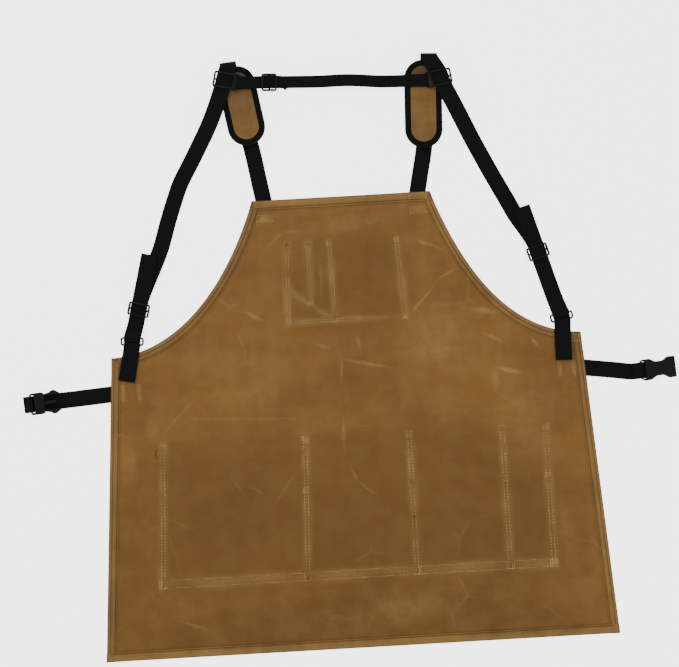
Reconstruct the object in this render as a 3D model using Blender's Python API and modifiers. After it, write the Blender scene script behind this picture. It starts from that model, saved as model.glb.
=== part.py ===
"""Waxed canvas tool apron with a padded webbing harness, laid flat with its body side up.

The apron lies on its pockets. The origin is the centre of the outer waist pocket's face, which is
the face it rests on. +X runs across the apron, +Y runs from the hem to the bib, and +Z runs from
the pocket side to the side that is worn against the body. All sizes are in metres.
"""

from dataclasses import dataclass
from math import atan2, cos, pi, radians, sin, sqrt

import bmesh
import bpy
from mathutils import Matrix, Vector

# Cloth and webbing
CANVAS = 0.0009
HEM_FOLD = 0.0012
WEBBING = 0.0012
STRAP_WIDTH = 0.024
CROSS_WIDTH = 0.018
GAP = 0.0003
CUT_SPARE = 0.002

# Apron panel
PANEL_LENGTH = 0.662
SIDE_LENGTH = 0.444
HEM_WIDTH = 0.753
WAIST_WIDTH = 0.688
BIB_WIDTH = 0.261
BIB_LEAN = 0.0045
HEM_STEP = 0.0005
FOLD_WIDTH = 0.014
ARMHOLE_DROP = Vector((0.043, -0.122))
ARMHOLE_REACH = Vector((-0.100, 0.004))
ARMHOLE_STEPS = 18

# Pockets
WAIST_POCKET_WIDTH = 0.573
WAIST_POCKET_HEIGHT = 0.215
FRONT_POCKET_HEIGHT = 0.138
POCKET_RISE = 0.098
CHEST_POCKET_WIDTH = 0.166
CHEST_POCKET_HEIGHT = 0.121
CHEST_POCKET_DROP = 0.063
CHEST_POCKET_SHIFT = 0.004

# Shoulder pads
PAD_WIDTH = 0.055
PAD_FOAM = 0.0035
BINDING_WIDTH = 0.009
BINDING_TAPE = 0.0008

# Moulded hardware
BAR = 0.0015
RAIL = 0.0022
ADJUSTER_LENGTH = 0.020
SIDE_CLEARANCE = 0.0015
SLIDER_ARM = 0.00125
SLIDER_LENGTH = CROSS_WIDTH + 2 * SIDE_CLEARANCE + 2 * SLIDER_ARM
SLIDER_SLOT = 0.0045
SLIDER_BAR = 0.0018
CROSS_ADJUSTER_LENGTH = 0.0225
END_BAR_WIDTH = 0.0028
CORNER_RADIUS = 0.003
RING_HEIGHT = 0.013
RING_CORNER = 0.0025
RING_WIRE = 0.003
RING_CLEARANCE = 0.00225
RING_WIDTH = STRAP_WIDTH + 2 * RING_CLEARANCE + 2 * RING_WIRE
RING_PLAY = 0.0015
EYE_LENGTH = 0.012
STRAP_EYE_LENGTH = 0.020
STITCHED_END = 0.028

# Side-release buckle
MALE_ARM = 0.00325
MALE_WIDTH = STRAP_WIDTH + SIDE_CLEARANCE + 2 * MALE_ARM
MALE_BODY = 0.020
MALE_HEIGHT = 0.0054
MALE_CORNER = 0.004
GUIDE_LENGTH = 0.018
GUIDE_WIDTH = 0.0045
GUIDE_TIP = 0.0015
PRONG_LENGTH = 0.023
PRONG_WIDTH = 0.0032
PRONG_HEIGHT = 0.0038
PRONG_SPREAD = 0.0115
FEMALE_ARM = 0.00275
FEMALE_WIDTH = STRAP_WIDTH + SIDE_CLEARANCE + 2 * FEMALE_ARM
FEMALE_NECK = 0.021
FEMALE_LENGTH = 0.050
FEMALE_HEIGHT = 0.0078
FEMALE_WALL = 0.0016
MOUTH_WIDTH = 0.025
MOUTH_DEPTH = 0.036
BUCKLE_BAR = 0.0024
BUCKLE_SLOT = 0.0045
MALE_FOLD = 0.010
PRONG_BULGE = 0.0045
PRONG_TIP = 0.0019
FOLD_BACK = 0.013

# Where the layers lie above the surface
HEM_Y = -POCKET_RISE - FRONT_POCKET_HEIGHT / 2
INNER_POCKET_Z = CANVAS + GAP
PANEL_Z = INNER_POCKET_Z + CANVAS + GAP
FACING_Z = PANEL_Z + CANVAS + GAP
HEM_TOP = PANEL_Z + CANVAS + HEM_FOLD
FLOOR_Z = WEBBING / 2
SEWN_Z = PANEL_Z - GAP - WEBBING / 2
PAD_Z = WEBBING + GAP
PAD_TOP = PAD_Z + 2 * BINDING_TAPE + 2 * CANVAS + PAD_FOAM + 4 * GAP
SLIDER_Z = PAD_TOP + 2 * GAP
OVER_PAD_Z = SLIDER_Z + BAR + GAP + WEBBING / 2
LOOP_Z = HEM_TOP + GAP + WEBBING / 2
RING_Z = LOOP_Z + WEBBING / 2 + GAP + RING_WIRE / 2
BACK_Z = RING_Z - RING_WIRE / 2 - RING_PLAY - WEBBING / 2
LAYER = WEBBING + GAP

CANVAS_BROWN = (0.25, 0.125, 0.035)
WEBBING_BLACK = (0.012, 0.013, 0.013)
PLASTIC_BLACK = (0.016, 0.017, 0.018)
FOAM_GREY = (0.30, 0.30, 0.29)


@dataclass(frozen=True)
class HarnessSide:
    """The lay of one side of the harness, as plan offsets and leans from +Y towards +X.

    The ring and the loop's end are measured from the apron's waist corner on that side, and the
    rest from the bib's corner. Hand is -1 on the left and 1 on the right.
    """

    name: str
    hand: int
    sewn: tuple
    pad_low: tuple
    pad_high: tuple
    fold: tuple
    slider: tuple
    slider_lean: float
    off_pad: tuple
    touch_down: tuple
    bends: tuple
    ring: tuple
    ring_lean: float
    back_lean: float
    adjuster_run: float
    tail_run: float
    loop_end: tuple

    def by_bib(self, offset, z=0.0):
        """Position at an offset from the bib's corner."""
        return plan(bib_corner(self.hand) + Vector(offset), z)

    def by_waist(self, offset, z=0.0):
        """Position at an offset from the waist corner."""
        return plan(waist_corner(self.hand) + Vector(offset), z)


LEFT = HarnessSide(
    name="left",
    hand=-1,
    sewn=(0.0177, -0.0010),
    pad_low=(0.0034, 0.0815),
    pad_high=(-0.0160, 0.1980),
    fold=(-0.0225, 0.1980),
    slider=(-0.0295, 0.1775),
    slider_lean=13.0,
    off_pad=(-0.0520, 0.1200),
    touch_down=(-0.0838, 0.0647),
    bends=((-0.1033, 0.0306), (-0.1127, 0.0077), (-0.1232, -0.0210), (-0.1374, -0.0642)),
    ring=(0.0324, 0.0230),
    ring_lean=4.0,
    back_lean=14.6,
    adjuster_run=0.0475,
    tail_run=0.082,
    loop_end=(0.0208, -0.0350),
)
RIGHT = HarnessSide(
    name="right",
    hand=1,
    sewn=(-0.0180, -0.0010),
    pad_low=(-0.0045, 0.0630),
    pad_high=(0.0005, 0.1920),
    fold=(0.0095, 0.1945),
    slider=(0.0253, 0.1635),
    slider_lean=-8.0,
    off_pad=(0.0445, 0.1185),
    touch_down=(0.0705, 0.0643),
    bends=((0.0941, 0.0159), (0.1126, -0.0203), (0.1225, -0.0410)),
    ring=(-0.0275, 0.0235),
    ring_lean=-10.0,
    back_lean=-16.6,
    adjuster_run=0.1005,
    tail_run=0.070,
    loop_end=(-0.0272, -0.0402),
)

CROSS_ADJUSTER_X = -0.0899
CROSS_TAIL_X = -0.0620
CROSS_RETURN = 0.025

WAIST_LIFT = 0.0023
WAIST_HINGE_Z = 0.0035
LEFT_WAIST = ((-0.0152, -0.0534), (-0.0450, -0.0555), (-0.1210, -0.0605))
RIGHT_WAIST = ((0.0152, -0.0548), (0.0465, -0.0593), (0.0850, -0.0620))
BUCKLE_HEADING = radians(4.0)
ANCHOR_LENGTH = 0.045


def plan(point, z=0.0):
    """A plan position lifted to a height."""
    return Vector((point[0], point[1], z))


def bib_corner(hand):
    """Plan position of the bib's top corner, on side +1 or -1."""
    return Vector((hand * BIB_WIDTH / 2 + BIB_LEAN, HEM_Y + PANEL_LENGTH))


def waist_corner(hand):
    """Plan position of the corner where the armhole meets the side, on side +1 or -1."""
    return Vector((hand * WAIST_WIDTH / 2, HEM_Y + SIDE_LENGTH))


def lean_vector(lean):
    """Unit plan vector that leans from +Y towards +X by an angle in degrees."""
    return Vector((sin(radians(lean)), cos(radians(lean)), 0.0))


def across(direction):
    """Unit plan vector square to a plan direction."""
    return Vector((direction.y, -direction.x, 0.0)).normalized()


def collection(name):
    """A new collection in the scene."""
    made = bpy.data.collections.new(name)
    bpy.context.scene.collection.children.link(made)
    return made


def eye_radius(bar):
    """Radius at which webbing passes round a square bar, to the middle of the webbing."""
    return bar / sqrt(2) + GAP + WEBBING / 2


def material(name, colour, roughness):
    """A plain Principled material."""
    made = bpy.data.materials.new(name)
    made.use_nodes = True
    shader = made.node_tree.nodes["Principled BSDF"]
    shader.inputs["Base Color"].default_value = (*colour, 1.0)
    shader.inputs["Roughness"].default_value = roughness
    shader.inputs["Metallic"].default_value = 0.0
    return made


class Workshop:
    """Holds the collections, and adds finished pieces and cutters to them."""

    def __init__(self):
        for old in list(bpy.data.objects):
            bpy.data.objects.remove(old)
        self.pieces = collection("apron")
        self.cutters = collection("cutters")

    def piece(self, name, mesh, colour, roughness):
        """Add a mesh as a named piece with its own material."""
        made = bpy.data.objects.new(name, mesh)
        mesh.materials.clear()
        mesh.materials.append(material(name, colour, roughness))
        self.pieces.objects.link(made)
        return made

    def cutter(self, mesh, target, operation="DIFFERENCE"):
        """Cut or join a mesh to a piece with an exact Boolean."""
        made = bpy.data.objects.new(target.name + "_cutter", mesh)
        self.cutters.objects.link(made)
        made.hide_render = True
        made.display_type = "WIRE"
        step = target.modifiers.new(operation.title(), "BOOLEAN")
        step.operation = operation
        step.solver = "EXACT"
        step.object = made


def slab(outline, z_low, height, place=None):
    """A flat outline filled and given a height, as a welded mesh.

    The outline is a closed list of plan points, and place moves it in plan.
    """
    curve = bpy.data.curves.new("outline", "CURVE")
    curve.dimensions = "2D"
    curve.fill_mode = "BOTH"
    curve.extrude = height / 2
    spline = curve.splines.new("POLY")
    spline.points.add(len(outline) - 1)
    for point, spot in zip(spline.points, outline):
        point.co = (spot[0], spot[1], 0.0, 1.0)
    spline.use_cyclic_u = True
    holder = bpy.data.objects.new("outline", curve)
    bpy.context.scene.collection.objects.link(holder)
    bpy.context.view_layer.update()
    evaluated = holder.evaluated_get(bpy.context.evaluated_depsgraph_get())
    mesh = bpy.data.meshes.new_from_object(evaluated)
    bpy.data.objects.remove(holder)
    form = bmesh.new()
    form.from_mesh(mesh)
    bmesh.ops.remove_doubles(form, verts=form.verts, dist=1e-6)
    bmesh.ops.translate(form, verts=form.verts, vec=(0.0, 0.0, z_low + height / 2))
    if place is not None:
        bmesh.ops.transform(form, verts=form.verts, matrix=place)
    form.to_mesh(mesh)
    form.free()
    return mesh


def block(low, high, place=None):
    """A box between two corners, as a mesh."""
    form = bmesh.new()
    bmesh.ops.create_cube(form, size=1.0)
    size = [b - a for a, b in zip(low, high)]
    middle = [(a + b) / 2 for a, b in zip(low, high)]
    bmesh.ops.scale(form, verts=form.verts, vec=size)
    bmesh.ops.translate(form, verts=form.verts, vec=middle)
    if place is not None:
        bmesh.ops.transform(form, verts=form.verts, matrix=place)
    mesh = bpy.data.meshes.new("block")
    form.to_mesh(mesh)
    form.free()
    return mesh


def pivot_at(piece, point):
    """Move a piece's origin to its joint and leave its mesh where it is."""
    piece.data.transform(Matrix.Translation(-point))
    piece.location = point


def placed(point, direction, z=0.0):
    """A matrix that turns local +Y to a plan direction and moves the origin to a plan point."""
    turn = Matrix.Rotation(atan2(-direction.x, direction.y), 4, "Z")
    return Matrix.Translation((point[0], point[1], z)) @ turn


def rounded_rectangle(x_low, x_high, y_low, y_high, radius, steps=4):
    """Outline of a rectangle with round corners."""
    corners = (
        (x_high - radius, y_high - radius, 0.0),
        (x_low + radius, y_high - radius, pi / 2),
        (x_low + radius, y_low + radius, pi),
        (x_high - radius, y_low + radius, 3 * pi / 2),
    )
    outline = []
    for x, y, start in corners:
        for step in range(steps + 1):
            angle = start + pi / 2 * step / steps
            outline.append((x + radius * cos(angle), y + radius * sin(angle)))
    return outline


def stadium(width, length, inset=0.0, steps=12):
    """Outline of a pad with half-round ends, from y = 0 to its length."""
    radius = width / 2 - inset
    outline = []
    for step in range(steps + 1):
        angle = pi * step / steps
        outline.append((radius * cos(angle), length - width / 2 + radius * sin(angle)))
    for step in range(steps + 1):
        angle = pi + pi * step / steps
        outline.append((radius * cos(angle), width / 2 + radius * sin(angle)))
    return outline


def bezier(start, handle_a, handle_b, end, steps):
    """Points along a cubic curve."""
    points = []
    for step in range(steps + 1):
        t = step / steps
        s = 1.0 - t
        points.append(
            s**3 * start + 3 * s * s * t * handle_a + 3 * s * t * t * handle_b + t**3 * end
        )
    return points


def armhole(side):
    """Armhole curve from the bib's corner to the waist corner, on side +1 or -1."""
    bib = bib_corner(side)
    waist = waist_corner(side)
    drop = Vector((side * ARMHOLE_DROP.x, ARMHOLE_DROP.y))
    reach = Vector((side * ARMHOLE_REACH.x, ARMHOLE_REACH.y))
    return bezier(bib, bib + drop, waist + reach, waist, ARMHOLE_STEPS)


def side_half_width(y, inset=0.0):
    """Half width of the apron at a height, less an inset."""
    share = (y - HEM_Y) / SIDE_LENGTH
    return HEM_WIDTH / 2 + (WAIST_WIDTH - HEM_WIDTH) / 2 * share - inset


def add_panel(shop):
    """The one-piece canvas panel with its turned hems, and the two armhole facings."""
    outline = [Vector((-HEM_WIDTH / 2, HEM_Y)), Vector((HEM_WIDTH / 2, HEM_Y))]
    outline += list(reversed(armhole(1))) + armhole(-1)
    panel = shop.piece("body_panel", slab(outline, PANEL_Z, CANVAS), CANVAS_BROWN, 0.75)

    waist_y = HEM_Y + SIDE_LENGTH
    fold_y = HEM_Y + FOLD_WIDTH
    side_hem = [(-WAIST_WIDTH / 2, waist_y), (-HEM_WIDTH / 2, HEM_Y)]
    side_hem += [(HEM_WIDTH / 2, HEM_Y), (WAIST_WIDTH / 2, waist_y)]
    side_hem += [(side_half_width(waist_y, FOLD_WIDTH), waist_y - HEM_STEP)]
    side_hem += [(side_half_width(fold_y, FOLD_WIDTH), fold_y)]
    side_hem += [(-side_half_width(fold_y, FOLD_WIDTH), fold_y)]
    side_hem += [(-side_half_width(waist_y, FOLD_WIDTH), waist_y - HEM_STEP)]
    sunk = CANVAS / 3
    hem_low = PANEL_Z + CANVAS - sunk
    shop.cutter(slab(side_hem, hem_low, HEM_FOLD + sunk), panel, "UNION")

    bib_y = HEM_Y + PANEL_LENGTH
    flare = FOLD_WIDTH * abs(ARMHOLE_DROP.x / ARMHOLE_DROP.y)
    bib_hem = [
        (BIB_LEAN - BIB_WIDTH / 2, bib_y),
        (BIB_LEAN - BIB_WIDTH / 2 - flare, bib_y - FOLD_WIDTH),
        (BIB_LEAN + BIB_WIDTH / 2 + flare, bib_y - FOLD_WIDTH),
        (BIB_LEAN + BIB_WIDTH / 2, bib_y),
    ]
    shop.cutter(slab(bib_hem, hem_low, HEM_FOLD + sunk), panel, "UNION")

    for name, side in (("left", -1), ("right", 1)):
        add_facing(shop, name, side)


def add_facing(shop, name, side):
    """The strip sewn along one armhole, between the bib hem and the side hem."""
    bib_end = HEM_Y + PANEL_LENGTH - FOLD_WIDTH - GAP
    waist_end = WAIST_WIDTH / 2 - FOLD_WIDTH - GAP
    edge = [p for p in armhole(side) if p.y < bib_end and abs(p.x) < waist_end]
    inner = []
    for before, here, after in zip([edge[0]] + edge, edge, edge[1:] + [edge[-1]]):
        run = (after - before).normalized()
        inner.append(here + FOLD_WIDTH * Vector((side * run.y, -side * run.x)))
    outline = edge + list(reversed(inner))
    height = HEM_TOP - FACING_Z
    facing = slab(outline, FACING_Z, height)
    shop.piece(f"armhole_facing_{name}", facing, CANVAS_BROWN, 0.75)


def add_pockets(shop):
    """The chest pocket and the two layers of the waist pocket, on the underside."""
    pocket_low = HEM_Y + POCKET_RISE
    chest_low = HEM_Y + PANEL_LENGTH - CHEST_POCKET_DROP - CHEST_POCKET_HEIGHT
    half = WAIST_POCKET_WIDTH / 2
    chest_half = CHEST_POCKET_WIDTH / 2
    sizes = (
        ("waist_pocket_front", -half, half, pocket_low, FRONT_POCKET_HEIGHT, 0.0),
        ("waist_pocket_back", -half, half, pocket_low, WAIST_POCKET_HEIGHT, INNER_POCKET_Z),
        (
            "chest_pocket",
            CHEST_POCKET_SHIFT - chest_half,
            CHEST_POCKET_SHIFT + chest_half,
            chest_low,
            CHEST_POCKET_HEIGHT,
            INNER_POCKET_Z,
        ),
    )
    for name, x_low, x_high, y_low, height, z_low in sizes:
        outline = [(x_low, y_low), (x_high, y_low)]
        outline += [(x_high, y_low + height), (x_low, y_low + height)]
        shop.piece(name, slab(outline, z_low, CANVAS), CANVAS_BROWN, 0.75)


def wrap(bar, radius, ahead, side, steps=8):
    """Stations that take webbing half-way round a bar, from below it to above it.

    The bar is its centre in space, ahead is the plan direction in which the webbing arrives, and
    side is the direction of the bar. The webbing turns square to the bar.
    """
    ahead = (ahead - side * ahead.dot(side)).normalized()
    stations = []
    for step in range(steps + 1):
        angle = pi * step / steps
        out = ahead * (radius * sin(angle)) - Vector((0, 0, radius * cos(angle)))
        stations.append((bar + out, side))
    return stations


def ribbon(shop, name, stations, width):
    """A length of webbing that passes through stations.

    A station is a position and the direction of the webbing's width there, or None to have it
    square to the run in plan.
    """
    spots = [spot for spot, _ in stations]
    sides = []
    for index, (_, side) in enumerate(stations):
        if side is None:
            before = spots[max(index - 1, 0)]
            after = spots[min(index + 1, len(spots) - 1)]
            side = across(after - before)
        if sides and side.dot(sides[-1]) < 0.0:
            side = -side
        sides.append(side)
    form = bmesh.new()
    segments = len(spots) - 1
    bmesh.ops.create_grid(form, x_segments=segments, y_segments=1, size=1.0)
    for vertex in form.verts:
        index = round((vertex.co.x + 1.0) / 2.0 * segments)
        reach = width / 2 if vertex.co.y > 0 else -width / 2
        vertex.co = spots[index] + sides[index] * reach
    mesh = bpy.data.meshes.new(name)
    form.to_mesh(mesh)
    form.free()
    made = shop.piece(name, mesh, WEBBING_BLACK, 0.8)
    thick = made.modifiers.new("Solidify", "SOLIDIFY")
    thick.thickness = WEBBING
    thick.offset = 0.0
    thick.use_even_offset = True
    return made


def ring_bars(side):
    """Centres of a ring's lower and upper bars, and the direction of the bars."""
    up = lean_vector(side.ring_lean)
    reach = (RING_HEIGHT - RING_WIRE) / 2
    centre = side.by_waist(side.ring, RING_Z)
    return centre - up * reach, centre + up * reach, across(up)


def add_harness_webbing(shop, side):
    """One side's webbing, from the bib, under and over the pad, round the ring to its tail."""
    sewn = side.by_bib(side.sewn)
    rise = (side.by_bib(side.pad_low) - sewn).normalized()
    fold_radius = (OVER_PAD_Z - FLOOR_Z) / 2
    fold_middle = side.by_bib(side.fold, (OVER_PAD_Z + FLOOR_Z) / 2)
    crease = Vector((1.0, 0.0, 0.0))
    slider = side.by_bib(side.slider, OVER_PAD_Z)
    slide = lean_vector(side.slider_lean)
    half_slider = SLIDER_LENGTH / 2 + CUT_SPARE
    _, upper_bar, bar = ring_bars(side)
    back = lean_vector(side.back_lean)
    start = side.by_waist(side.ring) + back * (upper_bar - side.by_waist(side.ring, RING_Z)).length
    adjuster_end = side.adjuster_run + ADJUSTER_LENGTH / 2 + 2 * CUT_SPARE
    tail_end = side.adjuster_run + side.tail_run
    eye = RING_WIRE / 2 + RING_PLAY + WEBBING / 2

    stations = [
        (sewn - rise * STITCHED_END + Vector((0, 0, SEWN_Z)), None),
        (sewn + Vector((0, 0, SEWN_Z)), None),
        (sewn + rise * STITCHED_END + Vector((0, 0, FLOOR_Z)), None),
        (side.by_bib(side.pad_low, FLOOR_Z), None),
        (side.by_bib(side.fold, FLOOR_Z) - Vector((0, 0.02, 0)), None),
    ]
    stations += wrap(fold_middle, fold_radius, Vector((0, 1, 0)), crease, 10)
    stations += [
        (slider + slide * half_slider, across(slide)),
        (slider - slide * half_slider, across(slide)),
        (side.by_bib(side.off_pad, OVER_PAD_Z), None),
        (side.by_bib(side.touch_down, FLOOR_Z), None),
    ]
    level = BACK_Z
    bends = [side.by_bib(bend) for bend in side.bends]
    for index, bend in enumerate(bends):
        height = FLOOR_Z if index < len(bends) - 1 else level
        stations.append((bend + Vector((0, 0, height)), None))
    stations += [
        (side.by_waist(side.ring, level) + back * adjuster_end, across(back)),
        (start + back * STRAP_EYE_LENGTH + Vector((0, 0, level)), across(back)),
    ]
    stations += wrap(upper_bar, eye, -back, bar)
    stations += [
        (start + back * STRAP_EYE_LENGTH + Vector((0, 0, level + LAYER)), across(back)),
        (side.by_waist(side.ring, level + LAYER) + back * tail_end, across(back)),
    ]
    ribbon(shop, f"harness_webbing_{side.name}", stations, STRAP_WIDTH)


def add_ring_loop(shop, side):
    """The doubled webbing loop that holds a ring at the apron's side corner."""
    lower_bar, _, bar = ring_bars(side)
    end = side.by_waist(side.loop_end)
    foot = Vector((lower_bar.x, lower_bar.y, 0.0))
    run = (foot - end).normalized()
    eye = RING_WIRE / 2 + GAP + WEBBING / 2
    stations = [
        (end + Vector((0, 0, LOOP_Z)), across(run)),
        (foot - run * EYE_LENGTH + Vector((0, 0, LOOP_Z)), across(run)),
    ]
    stations += wrap(lower_bar, eye, run, bar)
    stations += [
        (foot - run * EYE_LENGTH + Vector((0, 0, LOOP_Z + LAYER)), across(run)),
        (end + Vector((0, 0, LOOP_Z + LAYER)), across(run)),
    ]
    ribbon(shop, f"ring_loop_{side.name}", stations, STRAP_WIDTH)


def add_ring(shop, side):
    """A rectangular ring of round wire, lying flat, with its origin on its lower bar."""
    lower_bar, _, _ = ring_bars(side)
    half = (RING_WIDTH - RING_WIRE) / 2
    path = rounded_rectangle(-half, half, 0.0, RING_HEIGHT - RING_WIRE, RING_CORNER, 3)
    curve = bpy.data.curves.new("ring_path", "CURVE")
    curve.dimensions = "3D"
    curve.bevel_depth = RING_WIRE / 2
    curve.bevel_resolution = 2
    spline = curve.splines.new("POLY")
    spline.points.add(len(path) - 1)
    for point, spot in zip(spline.points, path):
        point.co = (spot[0], spot[1], 0.0, 1.0)
    spline.use_cyclic_u = True
    name = f"ring_{side.name}"
    curve.materials.append(material(name, PLASTIC_BLACK, 0.4))
    ring = bpy.data.objects.new(name, curve)
    ring.matrix_world = placed(lower_bar, lean_vector(side.ring_lean), RING_Z)
    shop.pieces.objects.link(ring)


def glide(shop, name, inner, length, z_low, layers, place, outer_bar=0.0):
    """A moulded three-bar glide: end bars over the webbing and a middle bar under it.

    Local +Y runs along the webbing. Layers is the number of webbing layers in it, and outer_bar,
    where it isn't zero, is the reach of a slot and bar on the +X side for a second webbing.
    """
    rail = inner / 2 + RAIL
    slot = outer_bar - SLIDER_BAR if outer_bar else 0.0
    height = 2 * BAR + layers * WEBBING + (layers + 1) * GAP
    channel_low = z_low + BAR
    channel_high = z_low + height - BAR
    half = length / 2
    outline = rounded_rectangle(-rail, rail + outer_bar, -half, half, CORNER_RADIUS)
    made = shop.piece(name, slab(outline, z_low, height, place), PLASTIC_BLACK, 0.4)
    window = inner / 2 - GAP
    cuts = [
        ((-inner / 2, -half - CUT_SPARE, channel_low), (inner / 2, half + CUT_SPARE, channel_high)),
        (
            (-window, END_BAR_WIDTH - half, channel_low + GAP),
            (window, half - END_BAR_WIDTH, channel_high + BAR + CUT_SPARE),
        ),
    ]
    for end in (-1, 1):
        near, far = sorted((end * END_BAR_WIDTH / 2, end * (half + 2 * CUT_SPARE)))
        cuts.append(((-window, near, z_low - CUT_SPARE), (window, far, channel_low + GAP)))
    if outer_bar:
        slot_y = half - SLIDER_ARM
        bar_low = z_low + (height - SLIDER_BAR) / 2
        low, high = z_low - CUT_SPARE, z_low + height + CUT_SPARE
        cuts.append(((rail, -slot_y, low), (rail + slot, slot_y, high)))
        reach = rail + outer_bar + CUT_SPARE
        for start, end in ((low, bar_low), (bar_low + SLIDER_BAR, high)):
            cuts.append(((rail + GAP, GAP - slot_y, start), (reach, slot_y - GAP, end)))
    for low, high in cuts:
        shop.cutter(block(low, high, place), made)
    return made


def slider_frame(side):
    """Place of a cross-strap slider, with local +X towards the other shoulder."""
    direction = lean_vector(side.slider_lean) * -side.hand
    return placed(side.by_bib(side.slider), direction)


def slider_bar(side):
    """Centre of the bar on a slider that holds the cross strap, and the bar's direction."""
    inner = STRAP_WIDTH + 2 * SIDE_CLEARANCE
    reach = inner / 2 + RAIL + SLIDER_SLOT + SLIDER_BAR / 2
    direction = lean_vector(side.slider_lean)
    spot = side.by_bib(side.slider) + across(direction) * reach * -side.hand
    height = 2 * BAR + WEBBING + 2 * GAP
    return spot + Vector((0, 0, SLIDER_Z + height / 2)), direction


def add_hardware(shop, side):
    """One side's strap adjuster and cross-strap slider."""
    back = lean_vector(side.back_lean)
    inner = STRAP_WIDTH + 2 * SIDE_CLEARANCE
    adjuster = side.by_waist(side.ring) + back * side.adjuster_run
    low = BACK_Z - WEBBING / 2 - GAP - BAR
    name = f"strap_adjuster_{side.name}"
    made = glide(shop, name, inner, ADJUSTER_LENGTH, low, 2, placed(adjuster, back))
    pivot_at(made, adjuster)
    reach = SLIDER_SLOT + SLIDER_BAR
    name = f"cross_strap_slider_{side.name}"
    glide(shop, name, inner, SLIDER_LENGTH, SLIDER_Z, 1, slider_frame(side), reach)


def add_cross_strap(shop):
    """The strap between the two sliders, with its adjuster."""
    left_bar, left_side = slider_bar(LEFT)
    right_bar, right_side = slider_bar(RIGHT)
    run = right_bar - left_bar
    run.z = 0.0
    run.normalize()
    eye = eye_radius(SLIDER_BAR)
    low = left_bar.z - eye

    def along(x, z):
        """A point on the strap's line at a given x."""
        spot = left_bar + run * ((x - left_bar.x) / run.x)
        return Vector((spot.x, spot.y, z))

    stations = [
        (along(CROSS_TAIL_X, low), across(run)),
        (along(left_bar.x + EYE_LENGTH, low), across(run)),
    ]
    stations += wrap(left_bar, eye, -run, left_side)
    stations += [
        (along(left_bar.x + EYE_LENGTH, low + LAYER), across(run)),
        (along(CROSS_TAIL_X, low + LAYER), across(run)),
        (along(right_bar.x - EYE_LENGTH, low + LAYER), across(run)),
    ]
    turn = list(reversed(wrap(right_bar, eye, run, right_side)))
    stations += turn
    stations += [
        (along(right_bar.x - EYE_LENGTH, low), across(run)),
        (along(right_bar.x - CROSS_RETURN, low), across(run)),
    ]
    ribbon(shop, "cross_strap", stations, CROSS_WIDTH)
    inner = CROSS_WIDTH + 2 * SIDE_CLEARANCE
    middle = along(CROSS_ADJUSTER_X, 0.0)
    z_low = low - WEBBING / 2 - GAP - BAR
    name = "cross_strap_adjuster"
    made = glide(shop, name, inner, CROSS_ADJUSTER_LENGTH, z_low, 2, placed(middle, run))
    pivot_at(made, middle)


def add_pad(shop, side):
    """One shoulder pad: backing, foam and canvas cover, held in a U-shaped binding."""
    low, high = side.by_bib(side.pad_low), side.by_bib(side.pad_high)
    length = (high - low).length
    place = placed(low, (high - low).normalized())
    inset = BINDING_TAPE + GAP
    core = stadium(PAD_WIDTH, length, inset)
    backing_z = PAD_Z + BINDING_TAPE + GAP
    foam_z = backing_z + CANVAS + GAP
    cover_z = foam_z + PAD_FOAM + GAP
    tag = side.name
    backing = slab(core, backing_z, CANVAS, place)
    foam = slab(core, foam_z, PAD_FOAM, place)
    cover = slab(core, cover_z, CANVAS, place)
    shop.piece(f"pad_backing_{tag}", backing, WEBBING_BLACK, 0.85)
    shop.piece(f"pad_foam_{tag}", foam, FOAM_GREY, 0.9)
    shop.piece(f"pad_cover_{tag}", cover, CANVAS_BROWN, 0.75)

    outer = slab(stadium(PAD_WIDTH, length), PAD_Z, PAD_TOP - PAD_Z, place)
    binding = shop.piece(f"pad_binding_{tag}", outer, WEBBING_BLACK, 0.8)
    window = stadium(PAD_WIDTH, length, BINDING_WIDTH)
    through = slab(window, PAD_Z - CUT_SPARE, PAD_TOP - PAD_Z + 2 * CUT_SPARE, place)
    groove_low = PAD_Z + BINDING_TAPE
    groove = slab(
        stadium(PAD_WIDTH, length, BINDING_TAPE),
        groove_low,
        PAD_TOP - BINDING_TAPE - groove_low,
        place,
    )
    shop.cutter(groove, binding)
    shop.cutter(through, binding)


def waist_route(offsets, hand):
    """Plan positions along a waist strap, from offsets from the waist corner."""
    return [plan(waist_corner(hand) + Vector(offset)) for offset in offsets]


def waist_edge(route, reach):
    """Where a waist strap's line is at a reach beyond the apron's side edge, and its direction."""
    start = route[0]
    outward = (route[1] - start).normalized()
    return start - outward * (abs(start.x) - side_half_width(start.y) - reach), outward


def up_side(hand):
    """Unit plan direction up the apron's side edge, on side +1 or -1."""
    return Vector((hand * (WAIST_WIDTH - HEM_WIDTH) / 2, SIDE_LENGTH, 0.0)).normalized()


def add_waist_anchor(shop, name, route, hand):
    """The end of a waist strap that is sewn under the apron's side edge."""
    edge, outward = waist_edge(route, -GAP)
    end = edge + Vector((0, 0, SEWN_Z))
    stations = [(end - outward * ANCHOR_LENGTH, None), (end, up_side(hand))]
    ribbon(shop, f"waist_strap_anchor_{name}", stations, STRAP_WIDTH)


def waist_start(route, hand):
    """First stations of a waist strap, from along the apron's edge down to the surface."""
    edge, _ = waist_edge(route, WAIST_LIFT)
    return [
        (edge + Vector((0, 0, SEWN_Z)), up_side(hand)),
        (route[1] + Vector((0, 0, FLOOR_Z)), None),
    ]


def add_waist_strap(shop, name, route, stations):
    """A waist strap with its origin on the line where it folds at the apron's edge."""
    made = ribbon(shop, f"waist_strap_{name}", stations, STRAP_WIDTH)
    hinge, _ = waist_edge(route, WAIST_LIFT)
    pivot_at(made, hinge + Vector((0, 0, WAIST_HINGE_Z)))


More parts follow.
